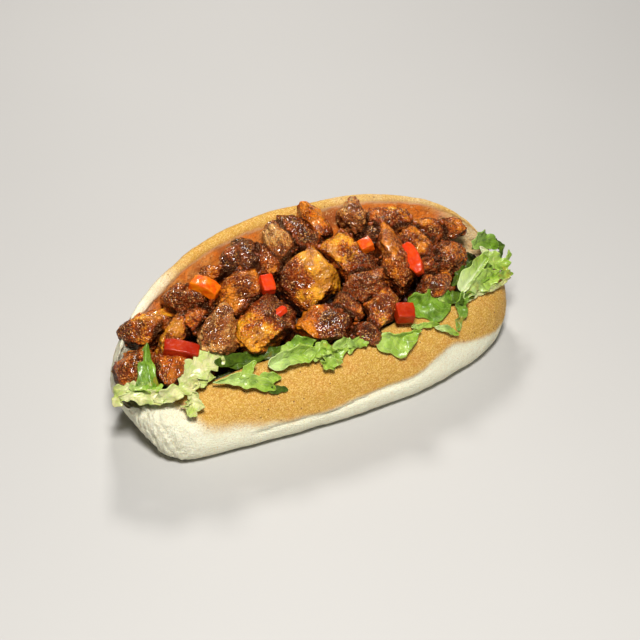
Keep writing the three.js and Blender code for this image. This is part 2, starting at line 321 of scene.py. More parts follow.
# %% [markdown]
# ## Chicken: the meat's surface
# Diced thigh meat has flat sides where a knife went through, torn fibre bundles between them and
# a coat of coarse spice grains. Sculpting 33 pieces by hand would be slow, so two steps do it for
# all of them. Knife cuts flatten the lump in a few directions. Then a Geometry Nodes recipe
# swells it into fibre bundles, tears it along them, makes it rugged and covers it in grains. Each
# piece gets its own place in the noise and its own fibre direction, so no two look alike. How
# browned, how torn, how grainy and how near its neighbours a point is are kept for the material.

# %% Patterns in the meat
LUMP, BUNDLE, RUGGED, SHRED, STRAND = 8 * MM, 6.5 * MM, 3.4 * MM, 3.3 * MM, 1.5 * MM
GRAIN, SMALL_GRAIN, BROWN_PATCH = 1.2 * MM, 0.85 * MM, 8 * MM
EXTRA_BROWNING = 0.14


def relaxed(recipe, geometry, position, steps=3):
    """Blurs the places of the points, which makes a faceted copy a soft lump."""
    blur = recipe.add("GeometryNodeBlurAttribute", {"Iterations": steps}, data_type="FLOAT_VECTOR")
    recipe.tree.links.new(position, next(s for s in blur.inputs if s.enabled and s.name == "Value"))
    inputs = {"Geometry": geometry, "Position": next(s for s in blur.outputs if s.enabled)}
    return recipe.add("GeometryNodeSetPosition", inputs).outputs[0]


def meat_patterns(recipe, place, fibre):
    """Patterns from 0 to 1. Bundles and strands are drawn out along the fibres."""
    along = recipe.dot(place, fibre)
    drawn, taut = (
        recipe.vector("SUBTRACT", place, recipe.scale(fibre, recipe.times(along, share)))
        for share in (0.5, 0.85)
    )
    wander = recipe.add("ShaderNodeTexNoise", {"Vector": place, "Scale": 1 / (7 * MM)}).outputs[1]
    aside = recipe.scale(recipe.vector("SUBTRACT", wander, (0.5, 0.5, 0.5)), 5 * MM)

    def astray(start, share):
        return recipe.vector("ADD", start, recipe.scale(aside, share))

    torn = recipe.ease(recipe.clouds(recipe.moved(place, 0.1, 0.4, 0.2), 9 * MM), 0.42, 0.56, 0.2, 1.0)
    coat = recipe.ease(recipe.clouds(place, 5 * MM), 0.36, 0.56, 0.3, 1.0)
    grain = recipe.ease(recipe.cells(astray(place, 0.2), GRAIN), 0.8, 0.15)
    small = recipe.ease(recipe.cells(place, SMALL_GRAIN), 0.8, 0.15)
    split = recipe.ease(recipe.cells(astray(drawn, 0.7), SHRED, "SMOOTH_F1"), 0.25, 0.62)
    return {
        "lump": recipe.clouds(place, LUMP, 2.0, 0.6),
        "bundle": recipe.ease(recipe.cells(astray(drawn, 1.0), BUNDLE, "SMOOTH_F1"), 0.65, 0.1),
        "shred": recipe.times(split, torn),
        "strand": recipe.clouds(astray(taut, 0.15), STRAND),
        "grain": recipe.times(recipe.plus(recipe.times(grain, 0.62), recipe.times(small, 0.38)), coat),
        "rugged": recipe.clouds(recipe.moved(place, 0.7, 0.2, 0.5), RUGGED, 3.0, 0.55),
        "coat": coat,
    }


# %% The recipe for the meat's surface
MEAT_LAYERS = (
    # pattern, its value that stays level, the depth it goes by and how much of it
    ("lump", 0.5, "Lump Depth", 2.6),
    ("bundle", 0.6, "Bundle Depth", 1.0),
    ("shred", 0.0, "Bundle Depth", -1.1),
    ("strand", 0.5, "Strand Depth", 2.0),
    ("grain", 0.4, "Grain Depth", 1.0),
    ("rugged", 0.5, "Bundle Depth", 3.0),
)


def meat_recipe():
    recipe, given = geometry_graph(
        "meat surface",
        ("Shift", "Vector", (0, 0, 0)),
        ("Fibre", "Vector", (1, 0, 0)),
        ("Swell", "Float", 0.3 * MM),
        ("Lump Depth", "Float", 1.2 * MM),
        ("Bundle Depth", "Float", 1.0 * MM),
        ("Strand Depth", "Float", 0.25 * MM),
        ("Grain Depth", "Float", 0.5 * MM),
        ("Browning", "Float", 0.5),
        ("Bare Side", "Vector", (0, 0, 0)),
        ("Centre", "Vector", (0, 0, 0)),
        ("Neighbours", "Object", None),
    )
    position = recipe.add("GeometryNodeInputPosition").outputs[0]
    normal = recipe.add("GeometryNodeInputNormal").outputs[0]
    place = recipe.vector("ADD", position, given["Shift"])
    pattern = meat_patterns(recipe, place, given["Fibre"])
    out = given["Swell"]
    for name, level, depth, share in MEAT_LAYERS:
        out = recipe.plus(out, recipe.centred(pattern[name], level, recipe.times(given[depth], share)))
    soft = relaxed(recipe, given["Geometry"], position)
    inputs = {"Geometry": soft, "Offset": recipe.scale(normal, out)}
    rough = recipe.add("GeometryNodeSetPosition", inputs).outputs[0]
    # Each piece has a side with less crust, and patches that are browner.
    patch = recipe.clouds(recipe.moved(place, 0.3, 0.7, 0.1), BROWN_PATCH, 3.0, 0.55)
    browning = recipe.plus(given["Browning"], EXTRA_BROWNING)
    browned = recipe.plus(recipe.centred(patch, 0.5, 3.0), browning)
    outwards = recipe.vector("SUBTRACT", position, given["Centre"])
    # Where pieces touch and on their undersides the meat is darkened: sauce, and painted shade.
    others = recipe.add("GeometryNodeObjectInfo", {"Object": given["Neighbours"]}).outputs["Geometry"]
    near = recipe.add("GeometryNodeProximity", {"Geometry": others}).outputs["Distance"]
    facing = recipe.dot(normal, (0, 0, 1))
    wet_and_shaded = recipe.ease(near, 0.3 * MM, 3.3 * MM, 1.0, 0.0)
    sauce = recipe.math("MAXIMUM", wet_and_shaded, recipe.ease(facing, 0.25, -0.4, 0.0, 0.85))
    dry = recipe.times(pattern["coat"], recipe.minus(1.0, sauce))
    seam = recipe.ease(near, 0.4 * MM, 2.6 * MM, 1.0, 0.0)
    kept = {
        "browned": recipe.minus(browned, recipe.dot(outwards, given["Bare Side"])),
        "bulge": pattern["bundle"],
        "shred": pattern["shred"],
        "grit": pattern["grain"],
        "sauce": sauce,
        "spice": recipe.times(dry, recipe.ease(facing, -0.1, 0.6)),
        "seam": recipe.times(seam, recipe.ease(facing, 0.0, 0.5)),
    }
    for name, value in kept.items():
        rough = remember(recipe, rough, name, value)
    recipe.add("NodeGroupOutput", {0: rough})
    return recipe


# %% [markdown]
# ## Chicken: colours
# Pan-fried chicken has three tones that run into each other: golden flesh stained by turmeric and
# paprika, a red-brown crust where it met the pan, and near-black scorch. The change from one to
# the next is made by grains, not by a soft blend, so a fine noise breaks up each border. The
# hollows between grains, the crevices between bundles, the gaps between pieces and the undersides
# are darkened: partly oily sauce, partly painted shade. Pale spice crumbs, which are also painted
# glints, dot the crust. Over all lies a thin film, smoother than the grains, whose small glints
# make the meat look wet.

# %% Chicken materials
CHICKEN_LOOKS = {
    # name: (flesh, amber, crust, scorch), each red, green, blue
    "golden": ((0.98, 0.42, 0.014), (0.84, 0.20, 0.004), (0.32, 0.036, 0.002), (0.070, 0.007, 0.001)),
    "orange": ((0.93, 0.27, 0.006), (0.70, 0.115, 0.003), (0.28, 0.030, 0.002), (0.065, 0.007, 0.001)),
    "brown": ((0.86, 0.26, 0.010), (0.60, 0.120, 0.005), (0.26, 0.031, 0.002), (0.062, 0.007, 0.001)),
    "dark": ((0.36, 0.075, 0.018), (0.22, 0.036, 0.010), (0.10, 0.018, 0.008), (0.032, 0.007, 0.004)),
    "pale": ((0.97, 0.56, 0.190), (0.80, 0.32, 0.055), (0.38, 0.085, 0.014), (0.10, 0.018, 0.006)),
}
# Pale spice crumbs, which are also painted glints.
CRUMB_AND_GLINT_TINT = colour(0.95, 0.48, 0.14)
# Near black where pieces touch and under them: sauce, and painted shade.
DARK_SAUCE_AND_SHADE = colour(0.020, 0.002, 0.0005)
GRAIN_SIZE = 0.95 * MM
CRUMB_GAP = 0.85 * MM
MEAT_GLOSS = dict(
    Specular_IOR_Level=0.9,
    Specular_Tint=colour(1.0, 0.60, 0.26),
    Coat_Roughness=0.07,
    Coat_IOR=1.55,
    Subsurface_Weight=0.15,
    Subsurface_Radius=(1.0, 0.35, 0.05),
    Subsurface_Scale=1.5 * MM,
)


def chicken_finish(name, tones):
    flesh, amber, crust, scorch = (colour(*tone) for tone in tones)
    look = Finish("chicken_" + name, 0.30, **MEAT_GLOSS)
    place = look.place
    browned, bulge, shred, grit, sauce = map(look.kept, ("browned", "bulge", "shred", "grit", "sauce"))
    # Each grain has a tone of its own, and fine noise adds dust between them.
    own = look.centred(look.tones(place, GRAIN_SIZE), 0.5, 0.50)
    dust = look.centred(look.clouds(place, 1.1 * MM, 3.0, 0.75), 0.5, 0.95)
    coated = look.ease(browned, 0.0, 0.35, 0.45, 1.0)
    level = look.plus(browned, look.times(look.plus(own, dust), coated))
    # Pale crumbs of spice sit in the crust, and hardly any on bare flesh. They are also painted glints.
    aside = look.moved(place, 0.5, 0.2, 0.8)
    pick = look.ease(look.tones(aside, CRUMB_GAP), 0.48, 0.76)
    spot = look.ease(look.cells(aside, CRUMB_GAP), 0.52, 0.26)
    crusty = look.ease(level, 0.15, 0.55, 0.25, 0.9)
    patchy = look.ease(look.clouds(place, 5 * MM), 0.36, 0.60, 0.35, 1.0)
    hollow = look.cells(place, GRAIN_SIZE)
    body = look.layered(
        flesh,
        (look.ease(level, 0.10, 0.38), amber),
        (look.ease(level, 0.40, 0.62), crust),
        (look.ease(level, 0.76, 1.00), scorch),
        # Painted shade: crevices between bundles, tears, valleys between grains and the bump's hollows are
        # darkened to crust and scorch.
        (look.ease(bulge, 0.30, 0.0, 0.0, 0.5), crust),
        (look.times(look.ease(shred, 0.25, 0.85, 0.0, 0.72), coated), scorch),
        (look.ease(grit, 0.24, 0.02, 0.0, 0.28), scorch),
        (look.times(look.ease(hollow, 0.38, 0.66, 0.0, 0.44), coated), scorch),
        (look.times(look.times(pick, spot), look.times(crusty, patchy)), CRUMB_AND_GLINT_TINT),
        # Near other pieces and on undersides, browner and then near black: sauce, and painted shade.
        (look.ease(sauce, 0.0, 0.45, 0.0, 0.8), crust),
        (look.ease(sauce, 0.30, 1.0, 0.0, 0.95), DARK_SAUCE_AND_SHADE),
    )
    look.set(Base_Color=body, Coat_Weight=look.ease(sauce, 0.2, 0.8, 0.55, 0.05))
    fine = look.times(look.clouds(place, 0.5 * MM, 2.0, 0.7), 0.5)
    look.relief(look.times(look.minus(fine, look.times(hollow, 0.9)), coated), 1.1 * MM)
    look.relief(look.clouds(place, 1.2 * MM, 1.0), 0.4 * MM, "Coat Normal")
    return look.material


chicken_finishes = {name: chicken_finish(name, tones) for name, tones in CHICKEN_LOOKS.items()}
print(len(chicken_finishes), "looks for the chicken")

# %% [markdown]
# ## Chicken: the 33 pieces
# Each row says a piece's look, the heading of its fibres seen from above, in degrees, how browned
# it is, and how deep its bundles, its strands and its grains are. A second list says how far the
# larger pieces reach in eight directions, which gives them their outlines. The rest of a piece's
# shape is already in the CAD node that it is made from.

# %% The list of pieces
CHICKEN = {
    # number: (look, fibre heading, browning, bundles, strands, grains)
    1: ("golden", 60, 0.12, 0.5, 0.1, 0.40),
    2: ("golden", 38, 0.46, 0.8, 0.2, 0.45),
    3: ("golden", -72, 0.42, 1.0, 0.2, 0.50),
    4: ("brown", 78, 0.34, 0.7, 0.2, 0.50),
    5: ("brown", 45, 0.32, 0.5, 0.1, 0.20),
    6: ("orange", -30, 0.62, 0.6, 0.1, 0.25),
    7: ("brown", 30, 0.48, 1.2, 0.9, 0.30),
    8: ("dark", 0, 0.50, 0.8, 0.2, 0.60),
    9: ("golden", -8, 0.32, 0.9, 0.5, 0.30),
    10: ("pale", 44, 0.12, 0.7, 0.6, 0.45),
    11: ("orange", 102, 0.12, 0.5, 0.4, 0.12),
    12: ("brown", -66, 0.34, 0.9, 0.3, 0.50),
    13: ("pale", 78, 0.34, 0.6, 0.2, 0.50),
    14: ("pale", 58, 0.52, 0.9, 0.6, 0.40),
    15: ("brown", -60, 0.72, 0.9, 0.3, 0.50),
    16: ("brown", -20, 0.48, 0.9, 0.3, 0.40),
    17: ("brown", 40, 0.44, 0.7, 0.2, 0.35),
    18: ("golden", 42, 0.04, 0.7, 0.3, 0.30),
    19: ("brown", -2, 0.54, 1.2, 0.8, 0.35),
    20: ("golden", 82, 0.48, 0.9, 0.5, 0.35),
    21: ("brown", -42, 0.58, 0.9, 0.6, 0.40),
    22: ("golden", -20, 0.50, 1.1, 0.4, 0.45),
    23: ("brown", -4, 0.56, 0.9, 0.3, 0.45),
    24: ("brown", -32, 0.50, 0.9, 0.6, 0.45),
    25: ("brown", -10, 0.46, 0.7, 0.3, 0.45),
    26: ("orange", 42, 0.44, 0.9, 0.6, 0.35),
    27: ("brown", -45, 0.66, 0.9, 0.3, 0.45),
    28: ("orange", 35, 0.40, 0.7, 0.2, 0.50),
    29: ("brown", -20, 0.54, 0.9, 0.3, 0.45),
    30: ("brown", -15, 0.72, 0.8, 0.3, 0.45),
    31: ("dark", 35, 0.40, 0.9, 0.3, 0.45),
    32: ("brown", 45, 0.58, 0.8, 0.3, 0.45),
    33: ("brown", -15, 0.56, 0.8, 0.3, 0.45),
}
# How far a piece reaches from its centre, in millimetres: right, up right, up and so on round.
REACHES = {
    1: (12.9, 12.2, 13.4, 11.2, 12, 12.2, 13.8, 12.4),
    2: (9.7, 11.9, 13.5, 10.9, 13.3, 15, 12.7, 8.3),
    3: (12, 8, 13, 12, 12.7, 8.8, 11.3, 14),
    4: (9.3, 10, 18, 16, 7.5, 7.6, 12.2, 11.7),
    5: (11, 11, 10, 8, 9.5, 10, 11, 10.2),
    6: (11.3, 9.9, 8.8, 9, 13.6, 8.5, 7.3, 9.5),
    7: (9.5, 10, 9, 8, 9, 10, 11, 11),
    8: (7.8, 8.3, 7.8, 7.3, 8.8, 7.6, 7.1, 6.9),
    9: (9, 9.5, 5, 7.5, 12, 12, 8.5, 6.5),
    10: (9.9, 14.7, 12.7, 7, 6.8, 9.3, 8.5, 10.2),
    11: (5, 3.6, 9, 12, 7, 3.8, 5, 6),
    12: (15, 6.9, 8, 5.5, 5.5, 4.2, 10.9, 16.9),
    13: (7.3, 7.6, 10.8, 8.6, 4.8, 4.4, 7, 8.4),
    14: (6.3, 7.6, 7.2, 6, 5.3, 4.4, 7.4, 6.4),
    15: (12, 7, 7, 9, 5.7, 4, 6.1, 11.8),
    16: (8.1, 7.6, 8.7, 7.8, 6, 5.9, 5.4, 7),
    17: (5.6, 8, 7.5, 5, 7.7, 8.5, 9, 7),
    18: (5.2, 9.2, 8.9, 5.8, 7.1, 10, 8.8, 4),
    19: (9.6, 9.7, 6.3, 6, 8.5, 7, 8, 10),
    20: (7, 9.5, 10, 6.9, 5.1, 5.5, 5.7, 5),
    21: (6.6, 5.4, 7.2, 7.4, 5.7, 4, 4.8, 6.6),
    22: (12.3, 8.6, 6, 8.5, 7.9, 5, 6, 10.7),
    23: (9.5, 8, 4.5, 4.5, 6, 7, 7.5, 8.5),
    24: (10.9, 7.8, 5, 5, 5, 4.5, 8, 12),
    25: (8.5, 6, 4.2, 4.8, 7.5, 6.5, 5.5, 6.5),
    26: (4.6, 5.5, 5.5, 6, 6, 4.9, 6.9, 6.5),
    28: (5.7, 7.2, 6.8, 6.4, 5.7, 5, 5.7, 4.8),
}
# How far some pieces lie from their CAD lump, in millimetres to the right and up the slope.
SHIFTS = {7: (-3.0, -0.5), 12: (-2.0, 1.0), 17: (1.8, 0), 24: (-3.0, 0), 25: (-2.8, 0)}
BARE = {
    # number: (heading of the side with the least crust, how much less crust at 10 mm out)
    1: (10, 0.75), 2: (235, 0.70), 3: (150, 0.35), 4: (100, 0.15), 6: (195, 0.85), 7: (-30, 0.25),
    9: (10, 0.45), 10: (235, 0.35), 11: (90, 0.20), 13: (200, 0.25), 14: (120, 0.10),
}
print(len(CHICKEN), "pieces,", len(REACHES), "of them with an outline of their own")

# %% [markdown]
# ## Chicken: knife cuts
# A cut is a plane that nothing may stick out past. The lump is first stretched until it fills its
# outline, and then pressed flat at each plane: where it reaches least, on top, below, and at a
# few random corners. Pressing keeps the skin closed, which cutting with a boolean might not.

# %% Directions on the heap
HEAP_TILT = math.atan(0.36)  # the heap climbs towards the back flap
ALONG_HEAP, UP_HEAP = Vector((0.866, -0.5, 0)), Vector((0.305, 0.528, 0.792))
OUT_OF_HEAP = ALONG_HEAP.cross(UP_HEAP).normalized()
EIGHT_WAYS = range(0, 360, 45)


def heap_direction(heading):
    """A direction along the heap's slope. Heading 0 is right and 90 is up the slope."""
    angle = math.radians(heading)
    return math.cos(angle) * ALONG_HEAP + math.sin(angle) * UP_HEAP


# %% Cut a lump to its outline
ROOM_TO_CUT = 1.55  # how much larger than its outline a lump is stretched
LEAST_STRETCH, MOST_STRETCH = 0.6, 2.1
SKIN_ROOM = 0.2 * MM  # the surface recipe adds about this much
SIDE_SLOPE = 0.25
CORNER_ROOM = 1.10
SMALL_REACH, FILL_OUT = 9, 1.08  # small pieces sink into each other a little
CORNER_CUTS = 5
PRESSED = 0.95  # how flat a cut presses what sticks out


def wanted_reach(reaches, extent, rng):
    if reaches is None:
        return extent * rng.uniform(0.82, 1.12, len(extent))
    swell = FILL_OUT if np.mean(reaches) < SMALL_REACH else 1.0
    return swell * np.array(reaches) * MM - SKIN_ROOM


def stretched(reach, wanted, extent, along, up, out):
    """The points of a lump, swelled until it fills its outline with room to cut."""
    angle = np.degrees(np.arctan2(reach @ up, reach @ along))
    factor = np.clip(ROOM_TO_CUT * wanted / extent, LEAST_STRETCH, MOST_STRETCH)
    factor = np.interp(angle, EIGHT_WAYS, factor, period=360)
    in_plane = np.outer(reach @ along, along) + np.outer(reach @ up, up)
    depth = np.outer(reach @ out, out)
    return reach + ((factor - 1)[:, None] * in_plane + (ROOM_TO_CUT - 1) * depth)


def knife_cuts(reach, ways, limits, out, front, behind, rng):
    """Planes to press the lump flat at: its sides, its top, its underside and a few corners."""
    cuts = []
    for way, limit in zip(ways, limits):
        slope = SIDE_SLOPE * rng.uniform(0.3, 1.7)
        cuts.append(((way + slope * out) / math.hypot(1, slope), limit))
    top = out + 0.18 * rng.normal(size=3)
    cuts.append((top / np.linalg.norm(top), rng.uniform(0.68, 0.90) * front))
    cuts.append((-out, 0.95 * behind))
    for _ in range(CORNER_CUTS):
        corner = rng.normal(size=3) + 0.6 * out
        corner /= np.linalg.norm(corner)
        cuts.append((corner, rng.uniform(0.55, 0.66) * (reach @ corner).max()))
    return cuts


def dice(piece, reaches, seed, shift):
    """Stretches the lump to its reaches and cuts it flat there, on top and at a few corners."""
    rng = np.random.default_rng(seed)
    points = points_of(piece)
    centre = (points.min(axis=0) + points.max(axis=0)) / 2
    reach = points - centre
    along, up, out = (np.array(v) for v in (ALONG_HEAP, UP_HEAP, OUT_OF_HEAP))
    ways = [np.array(heap_direction(h)) for h in EIGHT_WAYS]
    extent = np.array([(reach @ way).max() for way in ways])
    front, behind = (reach @ out).max(), -(reach @ out).min()
    wanted = wanted_reach(reaches, extent, rng)
    # Flat sides go where the reach is least, and corners are left where it is greatest.
    nearby = np.minimum(np.roll(wanted, 1), np.roll(wanted, -1))
    flat = wanted <= nearby * rng.uniform(1.0, 1.12, len(wanted))
    limits = np.where(flat, 1.0, CORNER_ROOM) * wanted
    reach = stretched(reach, wanted, extent, along, up, out)
    for direction, limit in knife_cuts(reach, ways, limits, out, front, behind, rng):
        over = np.maximum(reach @ direction - limit, 0)
        reach -= PRESSED * over[:, None] * direction
    centre = centre + (shift[0] * along + shift[1] * up) * MM
    move_points(piece, centre + reach)


# %% Cook the chicken
MEAT_VOXEL = 0.42 * MM
SPECK = 50  # a speck has fewer points than this
NOISE_STEPS = (0.037, 0.021, 0.013)  # from one piece's place in the noise to the next one's


def drop_specks(piece):
    """Removes specks that the voxel remesh may leave beside the lump."""
    mesh = bmesh.new()
    mesh.from_mesh(piece.data)
    unseen, specks = set(mesh.verts), []
    while unseen:
        island, front = [], [unseen.pop()]
        while front:
            point = front.pop()
            island.append(point)
            around = {edge.other_vert(point) for edge in point.link_edges} & unseen
            unseen -= around
            front.extend(around)
        if len(island) < SPECK:
            specks += island
    bmesh.ops.delete(mesh, geom=specks, context="VERTS")
    mesh.to_mesh(piece.data)
    mesh.free()


def cook(number):
    look, heading, browning, bundle, strand, grain = CHICKEN[number]
    node = f"chicken_piece_{number:02d}"
    piece = remeshed_copy(node, f"cooked_chicken_{number:02d}", MEAT_VOXEL)
    drop_specks(piece)
    dice(piece, REACHES.get(number), number, SHIFTS.get(number, (0, 0)))
    bare_heading, bare_amount = BARE.get(number, (0, 0))
    turned = Matrix.Rotation(HEAP_TILT, 3, "X") @ Matrix.Rotation(math.radians(heading), 3, "Z")
    # The other chicken and the leaves below, as the CAD has them, say where the sauce gathers.
    others = [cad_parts[n].data for n in chicken_nodes + ["salad_leaves"] if n != node]
    neighbours = bpy.data.objects.new("neighbours", joined_mesh("neighbours", others))
    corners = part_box(node)
    apply_graph(
        piece,
        meat,
        Shift=[step * number for step in NOISE_STEPS],
        Fibre=list(turned @ Vector((1, 0, 0))),
        Browning=browning,
        Bundle_Depth=bundle * MM,
        Strand_Depth=strand * MM,
        Grain_Depth=grain * MM,
        Bare_Side=list(heap_direction(bare_heading) * (bare_amount / (10 * MM))),
        Centre=list((corners[0] + corners[1]) / 2),
        Neighbours=neighbours,
    )
    bpy.data.objects.remove(neighbours)
    dress(piece, chicken_finishes[look])
    return keep(piece, "chicken", node)


meat = meat_recipe()
cooked = [cook(number) for number in CHICKEN]
print(len(cooked), "pieces,", sum(len(p.data.polygons) for p in cooked), "faces")

# %% [markdown]
# ## Bread: a loft through one outline
# The roll was baked beside others, so it is flat-sided and pale below with a golden top, and it is
# slit along one side and folded open. Seen from its end it is always the same outline, which only
# narrows towards the ends. A loft does that: the outline's landmarks are narrowed for each
# station along the roll and a smooth curve joins them. Knowing where each point lies around the
# outline also says whether it is crust or cut crumb, which a sculpted lump wouldn't.

# %% The roll's outline and how it narrows
ROLL_OUTLINE = [
    # across and up, in millimetres, from the front foot round to the back foot
    (-32, 0), (-41, 3.5), (-43, 9), (-41.5, 16.5), (-38, 24.5), (-31.5, 31.5), (-26, 33.5),
    (-21, 29.5), (-13, 17), (2, 10), (18, 20), (29, 38), (36, 52), (40.5, 59), (46, 61.5),
    (51, 56.5), (52, 43), (46, 22), (36, 5), (23, 0),
]
ROLL_LEFT, ROLL_RIGHT = -98, 101
FOLD, END_HEIGHT, RIM_HEIGHT, LIP_HEIGHT = 2, 21, 61.5, 33.5
FRONT_LIP = 6.5  # landmarks count from 0: here the crust ends and the cut face begins
BACK_LIP = 13.1  # and here the cut face ends at the flap's rim
CRUMB_SINK = 0.8 * MM  # crumb shrinks back from the crust's cut edge
NARROWING = {
    # part: (slope, blunt, round_off) for the left end and for the right
    "front": ((0.25, 12, 0.3), (0, 3, 0.45)),
    "rim": ((0, 1.85, 0.72), (0, 1.85, 0.5)),
    "top": ((0, 3, 0.4), (0, 3, 0.4)),
    "base": ((0, 14, 0.5), (0, 8, 0.5)),
}


def narrowing(part, t):
    """How much of its width or height a part keeps at t."""
    slope, blunt, round_off = NARROWING[part][0 if t < 0 else 1]
    return (1 - slope * abs(t)) * (1 - abs(t) ** blunt) ** round_off


def roll_landmarks(t):
    """The outline's landmarks at t, from -1 at the left end to 1 at the right."""
    front, rim, top, base = (narrowing(part, t) for part in NARROWING)
    placed = []
    for across, up in ROLL_OUTLINE:
        share = 0 if across < FOLD else min(1, up / RIM_HEIGHT)
        width = front + (rim - front) * share
        height = top if up > END_HEIGHT else base
        in_fold = max(0, 1 - abs(across - FOLD) / 20)
        rise = 16 * abs(t) ** 3 * base * in_fold
        lip = ramp(up, END_HEIGHT, LIP_HEIGHT) if across < -20 else 0
        tuck = 4.5 * lip * ramp(-t, 0, 0.6)
        sideways = FOLD + (across + tuck - FOLD) * width
        placed.append((sideways, END_HEIGHT + (up - END_HEIGHT) * height + rise))
    return placed


# %% A smooth closed curve through landmarks
def smooth_loop(landmarks, places):
    """Points of the curve. A place of 2.5 is half way from landmark 2 to 3."""
    knots = np.array(landmarks, float)
    first = np.floor(places).astype(int)
    share = (places - first)[:, None]
    a, b, c, d = (knots[(first + k) % len(knots)] for k in (-1, 0, 1, 2))
    ab, bc, cd = (np.linalg.norm(q - p, axis=1)[:, None] ** 0.5 for p, q in ((a, b), (b, c), (c, d)))
    leave = bc * ((b - a) / ab - (c - a) / (ab + bc) + (c - b) / bc)
    arrive = bc * ((c - b) / bc - (d - b) / (bc + cd) + (d - c) / cd)
    curve = b + leave * share + (3 * (c - b) - 2 * leave - arrive) * share**2
    return curve + (2 * (b - c) + leave + arrive) * share**3


def even_places(landmarks, count):
    """Places that are equally far apart along the curve."""
    fine = np.linspace(0, len(landmarks), 2000)
    steps = np.linalg.norm(np.diff(smooth_loop(landmarks, fine), axis=0), axis=1)
    travelled = np.concatenate([[0], np.cumsum(steps)])
    return np.interp(np.linspace(0, travelled[-1], count, endpoint=False), travelled, fine)


# %% Points of the loft
def ring_grid(rows, around):
    """Faces of a tube of rows rings, with a point at both ends."""
    faces = []
    for row in range(rows - 1):
        for i in range(around):
            a, b = row * around + i, row * around + (i + 1) % around
            faces.append((a, a + around, b + around, b))
    start, last = rows * around, (rows - 1) * around
    for i in range(around):
        after = (i + 1) % around
        faces.append((start, i, after))
        faces.append((start + 1, last + after, last + i))
    return faces


def loft_roll(stations=300, around=260):
    places = even_places(ROLL_OUTLINE, around)
    middle, half = (ROLL_LEFT + ROLL_RIGHT) / 2, (ROLL_RIGHT - ROLL_LEFT) / 2
    points = []
    for s in range(1, stations):
        t = math.sin((s / stations - 0.5) * math.pi)
        lean = (-0.13 if t < 0 else 0.05) * abs(t) ** 6
        for across, up in smooth_loop(roll_landmarks(t), places):
            up = max(0, up - 0.4)
            points.append((middle + t * half + lean * (up - END_HEIGHT), across, up))
    points += [(ROLL_LEFT, FOLD, END_HEIGHT), (ROLL_RIGHT, FOLD, END_HEIGHT)]
    place = np.concatenate([np.tile(places, stations - 1), [9, 9]])
    return np.array(points) * MM, place, ring_grid(stations - 1, around)


# %% [markdown]
# ## Bread: colours
# The crust goes from pale to golden by its bake, with toasted patches, meal, flour and bran. The
# crumb is open and soaked: orange oil in patches, and sauce where the chicken touches it. The
# torn end has neither, so there the bread's own soft crumb shows, nearly white. Painted shade
# darkens the holes and pits of the crumb and the hollows of the torn end's fluff.

# %% Bread material
PALE_CRUST = colour(0.93, 0.93, 0.73)
GOLDEN_CRUST = colour(0.62, 0.345, 0.048)
ORANGE_CRUST = colour(0.68, 0.29, 0.055)
TOASTED_CRUST = colour(0.50, 0.20, 0.035)
PALE_MEAL = colour(0.94, 0.67, 0.24)
BRAN = colour(0.22, 0.09, 0.03)
# Painted shade for the hollows of the torn end's fluff.
FLUFF_PAINTED_SHADE = colour(0.74, 0.69, 0.44)
FLECK = colour(0.85, 0.50, 0.20)
CRUMB = colour(0.58, 0.24, 0.05)
OPEN_CRUMB = colour(0.64, 0.33, 0.09)
# Sauce stains on the crumb, and painted shade in its holes and pits.
SAUCE_STAIN_AND_PIT_SHADE = colour(0.30, 0.070, 0.012)
OIL_STAIN = colour(0.74, 0.175, 0.010)
PALE_MEAL_SIZE, BROWN_MEAL_SIZE, BRAN_GAP = 0.42 * MM, 0.48 * MM, 4.5 * MM


def crust_colour(look, baked, fluff_painted_shade):
    """Every tiny grain of the meal is a little paler or browner than the next."""
    place = look.place
    level = look.plus(baked, look.centred(look.clouds(place, 10 * MM, 4.0), 0.5, 0.7))
    toast = look.clouds(look.moved(place, 0.6, 0.3, 0.1), 9 * MM, 4.0, 0.65)
    dusted = look.ease(baked, 0.1, 0.7, 0.25, 1.0)
    pale_meal = look.ease(look.tones(place, PALE_MEAL_SIZE), 0.45, 0.85, 0.0, 0.6)
    brown_meal = look.tones(look.moved(place, 0.4, 0.1, 0.6), BROWN_MEAL_SIZE)
    brown_meal = look.ease(brown_meal, 0.50, 0.85, 0.0, 0.5)
    bran = look.ease(look.cells(place, BRAN_GAP), 0.11, 0.07, 0.0, 0.8)
    return look.layered(
        PALE_CRUST,
        (look.ease(level, 0.05, 0.85), GOLDEN_CRUST),
        (look.times(look.ease(toast, 0.45, 0.68, 0.0, 0.55), baked), ORANGE_CRUST),
        (look.ease(level, 1.00, 1.30, 0.0, 0.6), TOASTED_CRUST),
        (look.times(pale_meal, dusted), PALE_MEAL),
        (look.times(brown_meal, dusted), TOASTED_CRUST),
        (look.times(bran, dusted), BRAN),
        (fluff_painted_shade, FLUFF_PAINTED_SHADE),
    )


def crumb_colour(look, stain, pore):
    place = look.place
    oil = look.clouds(look.moved(place, 0.2, 0.9, 0.3), 15 * MM)
    hole_shade = look.clouds(place, 1.5 * MM, 4.0, 0.75)
    fleck = look.clouds(look.moved(place, 0.8, 0.5, 0.3), 1.8 * MM, 3.0, 0.7)
    return look.layered(
        CRUMB,
        (look.ease(look.clouds(place, 7 * MM, 3.0, 0.6), 0.38, 0.60), OPEN_CRUMB),
        (look.ease(oil, 0.36, 0.52, 0.40, 1.0), OIL_STAIN),
        (look.times(stain, 0.85), SAUCE_STAIN_AND_PIT_SHADE),
        # Painted shade: the crumb's open holes and its sunken pores are darkened.
        (look.ease(hole_shade, 0.50, 0.68, 0.0, 0.75), SAUCE_STAIN_AND_PIT_SHADE),
        (look.ease(pore, 0.1, 0.5, 0.0, 0.5), SAUCE_STAIN_AND_PIT_SHADE),
        (look.ease(fleck, 0.56, 0.70, 0.0, 0.6), FLECK),
    )


